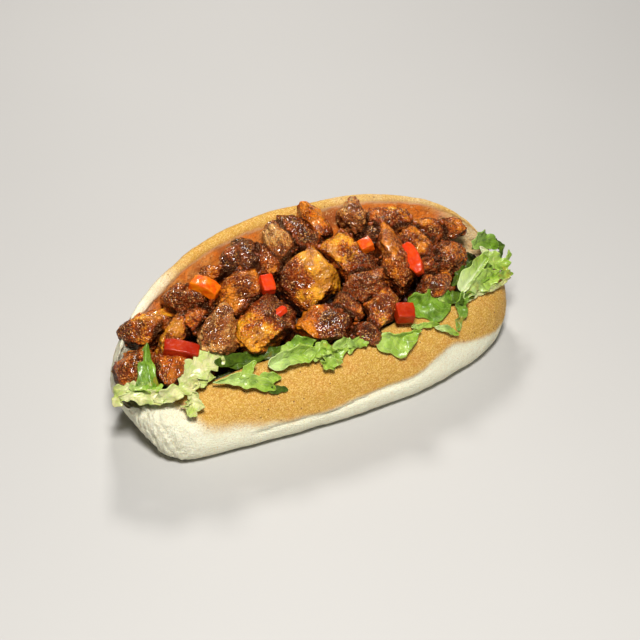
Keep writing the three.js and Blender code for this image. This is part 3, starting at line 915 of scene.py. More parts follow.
def bread_finish():
    look = Finish(
        "bread",
        0.7,
        Specular_IOR_Level=0.3,
        Subsurface_Weight=0.12,
        Subsurface_Radius=(1.0, 0.7, 0.4),
        Subsurface_Scale=2 * MM,
    )
    place, torn = look.place, look.kept("torn")
    fluffy = look.clouds(look.vector("MULTIPLY", place, (1, 1, 0.5)), 1.6 * MM, 4.0, 0.65)
    # Painted shade in the hollows of the torn end's fluff, where the bump sinks.
    fluff_painted_shade = look.times(look.ease(fluffy, 0.52, 0.70, 0.0, 0.5), torn)
    body = look.layered(
        crust_colour(look, look.kept("baked"), fluff_painted_shade),
        (look.kept("cut"), crumb_colour(look, look.kept("stain"), look.kept("pore"))),
        (look.times(look.kept("lip"), 0.45), TOASTED_CRUST),
    )
    look.set(Base_Color=body)
    grain = look.times(look.clouds(place, 0.45 * MM, 3.0, 0.7), 0.6)
    pebble = look.times(look.cells(place, 0.8 * MM), 0.7)
    fluff = look.times(look.times(fluffy, torn), -3.5)
    look.relief(look.plus(look.minus(grain, pebble), fluff), 0.4 * MM)
    return look.material


# %% [markdown]
# ## Bread: bake, crumb and stains
# On the smooth loft come the marks of baking: a wavy skin, a crease where the golden top meets
# the soft pale foot, and open pores in the crumb. The bake is a number for each point, 0 for pale
# and 1 for golden, worked out from where the point lies. It fades to nothing at the left end,
# which was torn from the next roll and is fluffy there. The cut face is stained where it is near
# the chicken, so that number comes from the distance to the heap.

# %% Where the bread is cut and golden
FOOT_HEIGHT = 12  # how far up the pale foot reaches, in millimetres
LIP_BLUR = 0.12  # how far the crust runs into the crumb, in landmarks
LIP_WAVE = 0.12
ALONG_ROLL = np.array([1, 0, 0])


def bell(value, middle, width):
    return np.exp(-(((value - middle) / width) ** 2))


def cut_face(points, place, x):
    """1 on the cut crumb and 0 on the crust, and the place of the flap's rim."""
    wave = LIP_WAVE * bumps(points * ALONG_ROLL, 9 * MM, 3)
    back_lip = BACK_LIP - 0.5 * ramp(-x, 35, 80)
    cut = ramp(place, FRONT_LIP - LIP_BLUR, FRONT_LIP + LIP_BLUR)
    cut *= ramp(back_lip - place + wave, -LIP_BLUR, LIP_BLUR)
    return cut, back_lip


def bake(points, x, z, front, cut):
    """How golden each point is, and how high the pale foot reaches under it."""
    foot = FOOT_HEIGHT + 2 * ramp(x, -18, 5) + 6 * bell(x, 50, 15) - 5 * ramp(x, 68, 98)
    golden = ramp(z - foot, -2.5, 3.5 + 10 * ramp(-x, 25, 68))
    left_edge = -83 + 0.9 * (30 - z) + 2.5 * bumps(points, 12 * MM, 2)
    golden *= ramp(x - left_edge, -8, 9) * (1 - 0.35 * ramp(x, 84, 99))
    rim_gold = (0.12 + 0.88 * ramp(x, -80, -30)) * (1 - 0.38 * ramp(x, 5, 45))
    return np.where(front > 0.5, golden, rim_gold * ramp(z, 14, 30)) * (1 - cut), foot


# %% How the skin rises and sinks
CREASE_DEPTH, LEDGE_RISE = 1.1 * MM, 0.7 * MM
PORE_DEPTH, FLUFF_RISE = 1.1 * MM, 0.9 * MM
BROAD_WAVE, FINE_WAVE, CRUMB_WAVE = 0.9 * MM, 0.22 * MM, 0.5 * MM
FLUFF_GRAIN = np.array([1, 1, 0.4])


def bread_marks(points, x, z, front, cut, foot):
    """The rise along the normal, with how torn and how deep in a pore each point is."""
    wave = BROAD_WAVE * bumps(points, 30 * MM, 2) + FINE_WAVE * bumps(points, 5 * MM, 2)
    line = foot - 1.0 + 0.5 * np.sin(x / 7)
    crease = bell(z, line, 0.8) * front * ramp(x, -58, -45) * ramp(-x, -45, -20)
    ledge = ramp(z, line - 0.6, line + 1.2) * front * ramp(x, -60, -40) * ramp(-x, -80, -50)
    torn = ramp(-x, 68, 90) * (1 - cut) * (0.4 + 0.6 * front)
    fluff = bumps(points * FLUFF_GRAIN, 2.2 * MM, 4) + 0.6 * bumps(points, 6 * MM, 2)
    pores = np.minimum(0, bumps(points, 2.4 * MM, 2) + 0.12)
    rise = wave - CREASE_DEPTH * crease + LEDGE_RISE * ledge + FLUFF_RISE * fluff * torn
    rise += cut * (PORE_DEPTH * pores - CRUMB_SINK + CRUMB_WAVE * bumps(points, 9 * MM, 2))
    return rise * ramp(z, 0.0, 2.5), torn, pores


# %% Build the roll
def distance_to(points, others):
    """How far each point is from the nearest of the others."""
    tree = KDTree(len(others))
    for i, other in enumerate(others):
        tree.insert(other, i)
    tree.balance()
    return np.array([tree.find(point)[2] for point in points])


def bake_roll(material):
    points, place, faces = loft_roll()
    low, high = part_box("bread_roll")
    points[:, 1] += (low.y + high.y) / 2 - (points[:, 1].min() + points[:, 1].max()) / 2
    piece = new_piece("baked_roll", points, faces, material)
    x, y, z = points.T / MM
    front = (place < FRONT_LIP).astype(float)
    cut, back_lip = cut_face(points, place, x)
    baked, foot = bake(points, x, z, front, cut)
    rise, torn, pores = bread_marks(points, x, z, front, cut, foot)
    moved = points + normals_of(piece) * rise[:, None]
    moved[:, 2] = np.maximum(moved[:, 2], 0)
    move_points(piece, moved)
    heap = [v.co for node in chicken_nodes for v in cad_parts[node].data.vertices]
    near = distance_to(moved, heap) / MM
    # The ends of the cut face stay clean: pale at the left, golden at the right.
    clean = np.maximum(ramp(-x, 66, 84), ramp(x, 78, 91))
    baked += 0.45 * ramp(x, 72, 88) * cut
    store(
        piece,
        baked=baked,
        torn=torn,
        cut=cut * (1 - 0.92 * clean),
        pore=-pores * cut,
        stain=ramp(8 + 6 * bumps(points, 10 * MM, 3) - near, 0, 8) * (1 - clean),
        lip=bell(place, back_lip, 0.22) + bell(place, FRONT_LIP, 0.2),
        meal=(0.15 + 0.85 * baked) * (1 - cut) * ramp(z, 3, 8),
    )
    return keep(piece, "crust", "bread_roll")


baked_roll = bake_roll(bread_finish())
print("roll:", len(baked_roll.data.polygons), "faces")

# %% [markdown]
# ## Salad: a core and separate leaves
# Under the chicken the leaves are pressed together, so one lumpy core a little smaller than the
# CAD bed is enough. It is coloured near black: sauce, and painted shade of the gaps it shows
# through. Where leaves show they are modelled one by one: a strip that follows a spine, with a
# toothed outline, edges that wave more than the middle, and an all-over crumple. Each leaf is a
# short list: where its spine runs, which way its face looks, and how wide, wavy and toothed it
# is. A thin thickness keeps it a real sheet with two sides.

# %% Leaf colours
LEAF_LOOKS = {
    # name: (blade, edge, rib, painted shade of folds), each red, green, blue
    "fresh": ((0.25, 0.42, 0.020), (0.42, 0.60, 0.075), (0.76, 0.86, 0.46), (0.075, 0.155, 0.005)),
    "middling": ((0.12, 0.25, 0.010), (0.24, 0.42, 0.035), (0.50, 0.65, 0.20), (0.030, 0.075, 0.003)),
    "deep": ((0.040, 0.080, 0.003), (0.095, 0.17, 0.008), (0.22, 0.32, 0.05), (0.020, 0.040, 0.002)),
    "pale": ((0.74, 0.71, 0.33), (0.50, 0.62, 0.14), (0.88, 0.87, 0.64), (0.42, 0.44, 0.07)),
}
OIL_ON_LEAF = colour(0.55, 0.26, 0.02)
LEAF_COAT, DULL_COAT = 0.3, 0.12  # dark leaves are less shiny
VEINS, VEIN_SLANT = 7.0, 2.2


def leaf_finish(name, tones):
    blade, edge, rib, painted_fold_shade = (colour(*tone) for tone in tones)
    look = Finish(
        "leaf_" + name,
        0.35,
        Specular_IOR_Level=0.3,
        Coat_Weight=DULL_COAT if name == "deep" else LEAF_COAT,
        Coat_Roughness=0.18,
        Subsurface_Weight=0.1,
        Subsurface_Radius=(0.5, 1.0, 0.15),
        Subsurface_Scale=1.0 * MM,
    )
    place = look.place
    side = look.math("ABSOLUTE", look.kept("across"))
    fold_shade_blotch = look.clouds(look.moved(place, 0.7, 0.1, 0.2), 4 * MM, 3.0)
    oil = look.clouds(look.moved(place, 0.3, 0.3, 0.8), 7 * MM)
    # Veins branch off at a slant, bent by noise.
    bend = look.times(look.clouds(place, 6 * MM), 1.6)
    slanted = look.minus(look.times(look.kept("along"), VEINS), look.times(side, VEIN_SLANT))
    wave = look.math("FRACT", look.plus(slanted, bend))
    vein = look.ease(look.math("ABSOLUTE", look.minus(wave, 0.5)), 0.08, 0.01, 0.0, 0.30)
    body = look.layered(
        blade,
        (look.ease(look.clouds(place, 4 * MM, 4.0, 0.65), 0.36, 0.64), edge),
        # Painted shade: dark blotches stand for the shade in the leaf's folds.
        (look.ease(fold_shade_blotch, 0.46, 0.70, 0.0, 0.6), painted_fold_shade),
        (look.ease(side, 0.86, 1.0, 0.0, 0.5), edge),
        (vein, rib),
        (look.kept("white"), rib),
        (look.ease(oil, 0.62, 0.72, 0.0, 0.35), OIL_ON_LEAF),
    )
    look.set(Base_Color=body)
    crinkle = look.clouds(place, 1.8 * MM, 3.0, 0.6)
    look.relief(look.minus(crinkle, look.times(vein, 0.8)), 0.6 * MM)
    return look.material


leaf_finishes = {name: leaf_finish(name, tones) for name, tones in LEAF_LOOKS.items()}

# %% A smooth line along a leaf
LEAF_THICKNESS = 0.4 * MM
LEAF_ROWS, LEAF_COLUMNS = 72, 25
SEED_STEP = 0.05  # from one leaf's place in the noise to the next one's
CRUMPLES = ((8 * MM, 1.0), (3.2 * MM, 0.5))  # how wide, and how much of the leaf's crumple
SIDEWAYS_HANG = 0.4  # how far the edge's teeth lean forwards


def midrib(points, rows):
    """A smooth line through a few points, with its direction at each row."""
    knots = np.array(points, float) * MM
    knots = np.vstack([2 * knots[0] - knots[1], knots, 2 * knots[-1] - knots[-2]])
    line = []
    for u in np.linspace(0, len(points) - 1 - 1e-6, rows):
        i, f = int(u), u - int(u)
        a, b, c, d = knots[i : i + 4]
        bend = (2 * a - 5 * b + 4 * c - d) * f**2 + (3 * b - 3 * c + d - a) * f**3
        line.append(0.5 * (2 * b + (c - a) * f + bend))
    line = np.array(line)
    heading = np.gradient(line, axis=0)
    return line, heading / np.linalg.norm(heading, axis=1)[:, None]


# %% The shape of one leaf
def leaf(
    name, spine, face, width, seed, look="fresh", sides=(1, 1), wide_at=0.5, tip=0.6, wave=1.0,
    waves=3, teeth=0.2, spikes=6, sharp=0.0, cup=0.3, fold=0.0, crumple=1.0, rib=0.0, white=0.3,
):
    """A leaf along its spine. Half its width, its wave and its crumple are in millimetres."""
    line, heading = midrib(spine, LEAF_ROWS)
    phase = np.random.default_rng(seed).uniform(0, 2 * math.pi, 8)
    power = math.log(0.5) / math.log(wide_at)
    shift = Vector((seed * SEED_STEP, 0, 0))
    vertices, across, along, whiteness = [], [], [], []
    for i in range(LEAF_ROWS):
        s = i / (LEAF_ROWS - 1)
        direction = Vector(heading[i])
        normal = Vector(face)
        normal = (normal - normal.dot(direction) * direction).normalized()
        sideways = direction.cross(normal)
        plump = max(0.0, math.sin(math.pi * min(1, s**power))) ** tip
        for j in range(LEAF_COLUMNS):
            v = 2 * j / (LEAF_COLUMNS - 1) - 1
            k = 0 if v < 0 else 1
            beat = s * spikes + phase[k] + 0.25 * math.sin(5 * s + phase[2 + k])
            spike = abs(beat % 1 - 0.5) * 2
            tooth = sharp * spike + (1 - sharp) * (0.5 + 0.5 * math.cos(2 * math.pi * beat))
            ragged = 1 + 0.18 * math.sin(7 * s + phase[4 + k]) + 0.08 * math.sin(19 * s + phase[5 + k])
            reach = sides[k] * plump * (1 - teeth * tooth) * ragged + 0.02
            hang = abs(v) ** 1.6
            swing = math.sin(2 * math.pi * waves * s + phase[4 + k] + 1.5 * v)
            swing += 0.5 * math.sin(4.3 * math.pi * waves * s + phase[k])
            lift = (cup * v * v * 0.3 + fold * abs(v)) * width
            lift += wave * hang * swing * min(1, plump * 1.3)
            spot = Vector(line[i]) + sideways * (v * reach * width * MM) + normal * (lift * MM)
            spot += direction * (SIDEWAYS_HANG * teeth * width * hang * MM)
            for size, share in CRUMPLES:
                spot += noise.noise_vector((spot + shift) / size) * (share * crumple * MM)
            vertices.append(spot)
            across.append(v)
            along.append(s)
            stem = white * (1 - s) ** 2
            whiteness.append(min(1, stem + rib * math.exp(-((v / 0.16) ** 2)) * (1 - 0.6 * s)))
    corners = [i * LEAF_COLUMNS + j for i in range(LEAF_ROWS - 1) for j in range(LEAF_COLUMNS - 1)]
    faces = [(a, a + LEAF_COLUMNS, a + LEAF_COLUMNS + 1, a + 1) for a in corners]
    piece = new_piece(name, vertices, faces, leaf_finishes[look])
    store(piece, across=across, along=along, white=whiteness)
    thick = piece.modifiers.new("thickness", "SOLIDIFY")
    thick.thickness = LEAF_THICKNESS
    thick.offset = 0
    plain(piece)
    return keep(piece, "leaf")


# %% [markdown]
# ## Salad: the leaves that show
# The real leaves overlap at random, so each row was placed one by one: pale curly endive at the
# torn end, small bright leaves along the front lip, and a ribbed lettuce leaf with strands at the
# right end. A row gives a leaf's name, the points of its spine in millimetres, the way its face
# looks, half its width and its seed, and then only the habits that differ from the usual ones.

# %% Leaves of the torn left end
SPIKY = dict(look="pale", teeth=0.5, sharp=1.0, crumple=1.2)
FRILLY = dict(teeth=0.18, wave=1.7, waves=1.6, spikes=4, crumple=1.6)
TO_FRONT, UPWARDS, TO_LEFT = (-0.25, -0.8, 0.6), (-0.1, -0.3, 0.95), (-0.8, -0.5, 0.5)
leaves = [
    leaf("endive_tip", [(-94, -15, 37), (-100, -13, 35), (-106, -13, 29)], (-0.7, -0.6, 0.5), 4.0, 1,
         spikes=4, **SPIKY),
    leaf("endive_frill", [(-103, -13, 33), (-96, -19, 34.5), (-89, -23, 34), (-82, -25, 34)],
         (-0.4, -0.6, 0.7), 3.6, 2, look="pale", **FRILLY),
    leaf("endive_under", [(-99, -14, 36), (-93, -18, 37), (-86, -21, 37)], UPWARDS, 3.0, 4, **FRILLY),
    leaf("dark_leaf_left",
         [(-92, -22, 32), (-90.5, -19, 37), (-89.5, -14, 42), (-87, -9, 46.5), (-85, -5, 50)],
         TO_FRONT, 4.6, 3, look="middling", sides=(1.3, 0.9), wide_at=0.3, tip=1.0, wave=0.8, waves=1,
         teeth=0.12, spikes=2, cup=0.1, fold=-0.4, crumple=0.7, white=0.0),
    leaf("endive_fan", [(-80, -23, 33.5), (-73, -22, 38.5), (-65, -21.5, 40.5), (-57, -21, 40)],
         TO_FRONT, 8.0, 7, look="pale", sides=(1.25, 0.7), wide_at=0.6, spikes=4, teeth=0.5, sharp=1.0,
         wave=0.6, crumple=0.7),
    leaf("endive_curl", [(-91, -23, 34), (-84, -26, 35.5), (-77, -25.5, 37), (-72, -24.5, 38)],
         TO_FRONT, 4.2, 5, look="pale", cup=1.0, **FRILLY),
    leaf("endive_knot", [(-76, -25, 36), (-70, -24.5, 36.5), (-62, -23.5, 34.5)], UPWARDS, 2.8, 6,
         look="pale", **FRILLY),
    leaf("endive_drop", [(-77, -26, 34.5), (-76, -29, 32), (-77, -31.5, 29), (-80, -33, 27)],
         (-0.3, -0.8, 0.5), 5.2, 8, wide_at=0.55, spikes=3, fold=0.2, **SPIKY),
]
print(len(leaves), "leaves at the left end")

# %% Leaves along the front lip, from left to right
leaves += [
    leaf("stem_leaf", [(-61, -22, 41), (-52, -21, 38.5), (-42, -20.5, 36)], TO_FRONT, 2.4, 9,
         look="deep", wave=0.3, waves=1, teeth=0.0, tip=0.35, crumple=0.5, white=0.0),
    leaf("shadow_leaf", [(-54, -22, 36), (-46, -21, 35.5), (-36, -21, 35), (-26, -21, 35)],
         (-0.2, -0.6, 0.8), 3.4, 10, look="deep", wave=0.6, waves=2, teeth=0.1, white=0.0),
    leaf("rocket_leaf",
         [(-65, -27, 34.5), (-57, -29.5, 35), (-50, -32, 34), (-44, -36, 31), (-40, -38, 28)],
         (-0.2, -0.85, 0.55), 4.2, 13, wide_at=0.62, tip=0.8, teeth=0.25, spikes=3, wave=0.7, waves=2,
         fold=0.2, white=0.4),
    leaf("rocket_lobe_upper", [(-53, -31, 34.5), (-48, -30, 37), (-44.5, -28.5, 39.5)],
         (-0.3, -0.8, 0.5), 2.4, 40, wave=0.3, waves=1, teeth=0.05, fold=0.2, white=0.1),
    leaf("rocket_lobe_right", [(-47, -34, 33), (-41, -34.5, 33), (-36, -35, 31.5)], (-0.1, -0.8, 0.6),
         2.6, 41, wave=0.4, waves=1, teeth=0.05, fold=0.2, white=0.2),
    leaf("rocket_tip", [(-43, -37.5, 29), (-38, -38.5, 27.5), (-34, -39, 26)], (-0.1, -0.9, 0.4), 1.8,
         42, look="deep", wave=0.3, waves=1, teeth=0.05, white=0.0),
    leaf("rolled_leaf", [(-38, -28.5, 34.5), (-31, -29.5, 36), (-24, -30, 36.5), (-17, -30.5, 35.5)],
         TO_FRONT, 4.6, 12, wave=0.8, waves=2, teeth=0.08, cup=2.0, fold=0.35, white=0.7, tip=0.5),
    leaf("rolled_inner", [(-33, -28, 36.5), (-27, -28, 38.5), (-19, -28, 38)], UPWARDS, 2.6, 43,
         wave=0.8, waves=2, teeth=0.1, fold=0.3),
    leaf("rolled_back", [(-30, -27, 38), (-22, -27, 39.5), (-14, -28, 38)], TO_LEFT, 2.6, 14,
         look="middling", **FRILLY),
    leaf("ruffled_leaf", [(-20, -31, 36.5), (-13, -33.5, 36.5), (-6, -34.5, 36)], UPWARDS, 4.0, 15,
         **FRILLY),
    leaf("ruffled_left", [(-21, -31, 37), (-17, -34, 37.5), (-12, -35.5, 37)], TO_LEFT, 3.0, 44,
         **FRILLY),
    leaf("ruffled_front", [(-16, -34.5, 35), (-9, -36, 34.5), (-2, -36.5, 34.5)], (-0.1, -0.95, 0.3),
         3.6, 45, **FRILLY),
    leaf("ruffled_right", [(-8, -34, 36.5), (-1, -35, 36), (6, -35, 37)], TO_FRONT, 3.8, 46, **FRILLY),
    leaf("ruffled_tip", [(-10, -35, 35), (-12, -37.5, 33.5), (-15, -39, 31.5)], (-0.3, -0.9, 0.4), 5.0,
         16, wide_at=0.55, teeth=0.3, spikes=4, wave=1.4, waves=2, fold=0.2, crumple=1.6),
    leaf("joining_leaf", [(-4, -35.5, 36.5), (3, -36, 35.5), (10, -36.5, 36)], TO_FRONT, 2.4, 17,
         wave=0.9, waves=2, crumple=1.4),
    leaf("bright_triangle", [(11, -35.5, 36), (19, -38, 34.5), (27, -39, 33.5), (36, -38.5, 33.5)],
         (-0.2, -0.85, 0.5), 7.2, 18, sides=(0.28, 1.3), wide_at=0.42, tip=1.0, wave=0.9, waves=1,
         teeth=0.03, cup=0.1, fold=0.12, crumple=1.5, white=0.2),
    leaf("hanging_leaf", [(37, -25, 37.5), (44, -29, 37.5), (51, -30, 37.5), (57, -28, 38)], TO_FRONT,
         7.0, 19, look="middling", sides=(0.9, 1.0), tip=0.3, wave=1.3, waves=1, teeth=0.03,
         crumple=1.4, fold=0.15, white=0.0),
    leaf("hanging_edge", [(50, -30, 39), (54, -29, 37), (57, -30, 32)], (0.4, -0.8, 0.4), 2.2, 47,
         wave=0.5, waves=2, teeth=0.05, fold=0.3),
    leaf("hanging_hem", [(32, -36.5, 34.5), (38, -37.5, 33.5), (46, -38.5, 31.5)], (-0.2, -0.9, 0.4),
         1.3, 20, wave=0.5, teeth=0.0, tip=0.3, cup=1.0, crumple=0.6),
    leaf("small_curl", [(43, -39, 31.5), (49, -40.5, 29), (55, -41.5, 25.5)], (-0.1, -0.9, 0.5), 2.0,
         21, wave=0.5, waves=2, teeth=0.15, fold=0.3, white=0.7),
]
print(len(leaves), "leaves so far")

# %% Leaves at the right end
leaves += [
    leaf("strand", [(56, -39, 25), (59, -36, 30.5), (63, -32, 35), (70, -29, 35)], (0.1, -0.8, 0.6),
         2.8, 22, look="middling", wave=1.2, teeth=0.15, fold=0.3, crumple=1.4),
    leaf("strand_behind", [(58, -22, 38), (58, -28, 37), (63, -31, 35), (70, -30, 34)],
         (0.1, -0.7, 0.7), 2.8, 23, look="deep", wave=0.8, waves=2, teeth=0.1, fold=0.2),
    leaf("lip_leaf", [(64, -29, 34.5), (73, -26.5, 36), (82, -24, 35.5), (89, -21.5, 34)],
         (0.0, -0.8, 0.6), 4.4, 24, wave=1.2, teeth=0.1, fold=0.25, crumple=1.4, white=0.5),
    leaf("white_rib", [(64, -28.5, 36.5), (71, -25.5, 39), (79, -21, 41), (86, -17, 41)],
         (0.0, -0.7, 0.7), 4.4, 25, sides=(1.2, 0.3), wave=0.7, waves=1, teeth=0.0, fold=0.2, rib=1.3,
         white=0.9, tip=0.35, crumple=0.6),
    leaf("under_rib", [(64, -22, 36), (71, -19, 39), (80, -15, 40)], (0.0, -0.7, 0.7), 2.6, 26,
         look="deep", wave=0.8, teeth=0.1, fold=0.2),
    leaf("rib_blade", [(70, -26, 37), (79, -22, 37.5), (88, -18, 36)], (0.1, -0.7, 0.7), 3.6, 48,
         look="middling", wave=0.8, waves=2, teeth=0.05, fold=0.2, crumple=1.4),
    leaf("lip_hem",
         [(67, -31.5, 32.5), (75, -29, 32.5), (84, -26.5, 31), (93, -23, 29), (99, -20.5, 27.5)],
         (0.0, -0.8, 0.5), 1.1, 27, look="pale", wave=0.6, teeth=0.05, tip=0.4),
    leaf("end_flap", [(82, -23.5, 31.5), (89, -21, 31), (96, -19, 29.5), (101, -18, 27.5)],
         (0.0, -0.6, 0.8), 2.0, 28, wave=0.6, waves=2, teeth=0.1, fold=0.2),
    leaf("end_leaf_middle", [(86, -11, 38), (91, -13, 36), (96, -15, 33), (98, -17, 29)],
         (0.2, -0.7, 0.6), 4.4, 29, teeth=0.12, fold=0.3),
    leaf("end_leaf_back", [(84, -7, 41), (90, -4, 41.5), (96, -3, 39), (100, -4, 34)],
         (0.1, -0.8, 0.6), 4.6, 30, look="middling", wave=1.2, waves=2, teeth=0.15, fold=0.3,
         white=0.5),
    leaf("end_strand", [(88, -8, 42), (91, -11, 38), (92, -13, 33)], (0.1, -0.8, 0.6), 1.8, 31,
         look="pale", wave=0.4, waves=1, teeth=0.05, cup=1.5, rib=0.8, white=0.8),
    leaf("end_dark", [(103, 0, 37), (104, -2, 31.5), (101, -6, 27)], (0.4, -0.8, 0.4), 2.2, 32,
         look="deep", wave=0.6, waves=2, teeth=0.1, fold=0.3, white=0.0),
    leaf("end_tip", [(98, -14, 26), (101, -12, 30), (104, -9, 35)], (0.3, -0.8, 0.4), 1.8, 33,
         wave=0.5, waves=2, teeth=0.1, fold=0.3, white=0.6, tip=0.8),
]
print(len(leaves), "leaves,", sum(len(p.data.polygons) for p in leaves), "faces")


# %% The pressed core
CORE_VOXEL = 1.2 * MM
# Near-black browns and greens: sauce on the pressed leaves, and painted shade of the gaps.
CORE_SAUCE_AND_SHADE = colour(0.018, 0.005, 0.002), colour(0.07, 0.018, 0.004)
DARK_GREENS = colour(0.015, 0.025, 0.004), colour(0.06, 0.10, 0.009)


def core_finish():
    look = Finish("pressed_leaves", 0.35)
    tone = look.clouds(look.place, 5 * MM, 3.0, 0.6)
    sauce = look.blend(look.ease(tone, 0.35, 0.6), *CORE_SAUCE_AND_SHADE)
    green = look.blend(look.ease(tone, 0.40, 0.6), *DARK_GREENS)
    look.set(Base_Color=look.blend(look.kept("leafy"), sauce, green))
    look.relief(look.clouds(look.place, 1.5 * MM, 3.0, 0.6), 0.6 * MM)
    return look.material


def press_core(material):
    piece = remeshed_copy("salad_leaves", "pressed_leaves", CORE_VOXEL)
    points = points_of(piece)
    rise = -2.0 * MM + 1.0 * MM * bumps(points, 6 * MM, 3)
    x, y, z = points.T / MM
    moved = points + normals_of(piece) * rise[:, None]
    # At the lip and the ends the core sinks well below the leaves that lie over it.
    rim = np.maximum(ramp(-y, 14, 26), ramp(np.abs(x), 70, 92))
    moved[:, 2] -= 4.5 * MM * rim * ramp(z, 24, 34)
    moved[:, 1] += 6.0 * MM * ramp(-y, 14, 28)
    moved[:, 0] -= 6.0 * MM * np.sign(x) * ramp(np.abs(x), 80, 100)
    move_points(piece, moved)
    store(piece, leafy=rim, scraps=1 - rim)
    dress(piece, material)
    return keep(piece, "leaf", "salad_leaves")


core = press_core(core_finish())
print("core:", len(core.data.polygons), "faces")

# %% [markdown]
# ## Red pepper
# Diced pepper has a tight glossy skin on one side, wetter flesh on the others and crisp but not
# sharp cut edges. A voxel remesh and a little smoothing round the CAD blocks' edges, and soft
# noise keeps the faces from being flat. Colour runs from orange to deep red, as in the mix. Some
# dice are turned on the heap, and the bent strip is flattened, so that they lie as they fell.

# %% Pepper colours
PEPPER_LOOKS = {
    # name: the light and the dark tone
    "orange": (colour(0.84, 0.20, 0.003), colour(0.74, 0.075, 0.002)),
    "scarlet": (colour(0.72, 0.060, 0.003), colour(0.66, 0.030, 0.003)),
    "red": (colour(0.46, 0.030, 0.002), colour(0.36, 0.014, 0.002)),
}
PEPPER_FLECK = colour(0.20, 0.03, 0.008)


def pepper_finish(name, tones):
    look = Finish(
        "pepper_" + name,
        0.35,
        Specular_IOR_Level=0.15,
        Coat_Weight=0.18,
        Coat_Roughness=0.12,
        Subsurface_Weight=0.15,
        Subsurface_Radius=(1.0, 0.2, 0.05),
        Subsurface_Scale=1.5 * MM,
    )
    body = look.blend(look.ease(look.clouds(look.place, 5 * MM), 0.35, 0.65), *tones)
    fleck = look.ease(look.cells(look.place, 1.4 * MM), 0.16, 0.05, 0.0, 0.5)
    look.set(Base_Color=look.blend(fleck, body, PEPPER_FLECK))
    look.relief(look.clouds(look.place, 1.2 * MM, 3.0, 0.6), 0.3 * MM)
    return look.material


pepper_finishes = {name: pepper_finish(name, tones) for name, tones in PEPPER_LOOKS.items()}
print(len(pepper_finishes), "pepper finishes")

# %% Cut the peppers
PEPPERS = {1: "orange", 2: "scarlet", 3: "red", 4: "orange", 5: "scarlet", 6: "red", 7: "scarlet"}
# number: (turn in degrees seen from above, how flat, how large)
PEPPER_TURNS = {1: (0, 1, 0.92), 4: (32, 1, 0.86), 5: (0, 1, 0.95), 7: (10, 0.45, 0.85)}
PEPPER_VOXEL, PEPPER_SMOOTHING = 0.4 * MM, 6


def turn_pepper(points, turn, flatness, size):
    """Turns the block on the heap, and makes it flatter and smaller."""
    out = np.array(OUT_OF_HEAP)
    centre = (points.min(axis=0) + points.max(axis=0)) / 2
    reach = (points - centre) * size
    reach -= (1 - flatness) * np.outer(reach @ out, out)
    turned = np.array(Matrix.Rotation(math.radians(turn), 3, OUT_OF_HEAP))
    return centre + reach @ turned.T


def dice_pepper(number):
    node = f"pepper_piece_{number:02d}"
    piece = remeshed_copy(node, f"diced_pepper_{number:02d}", PEPPER_VOXEL, PEPPER_SMOOTHING)
    points = points_of(piece)
    rise = 0.25 * MM * bumps(points, 3 * MM, 2)
    points = points + normals_of(piece) * rise[:, None]
    move_points(piece, turn_pepper(points, *PEPPER_TURNS.get(number, (0, 1, 1))))
    dress(piece, pepper_finishes[PEPPERS[number]])
    return keep(piece, "pepper", node)


diced = [dice_pepper(number) for number in PEPPERS]
print(len(diced), "pepper pieces")

# %% [markdown]
# ## Meal, spice and scraps
# The crust is dusted with fine meal and the chicken with coarse spice. Grains near the size of a
# pinhead still sparkle, so a few thousand are real. Larger scraps and bits of crust lie between
# the pieces and in the seams where they touch. Geometry Nodes scatters points over the surface,
# denser where a stored number is high, puts a small ball on each, bends the larger ones out of
# round and realizes them all as one plain mesh.

# %% A recipe that sprinkles grains
BEND_SIZE = 1.5 * MM
FLATTENED = (1.0, 0.8, 0.65)


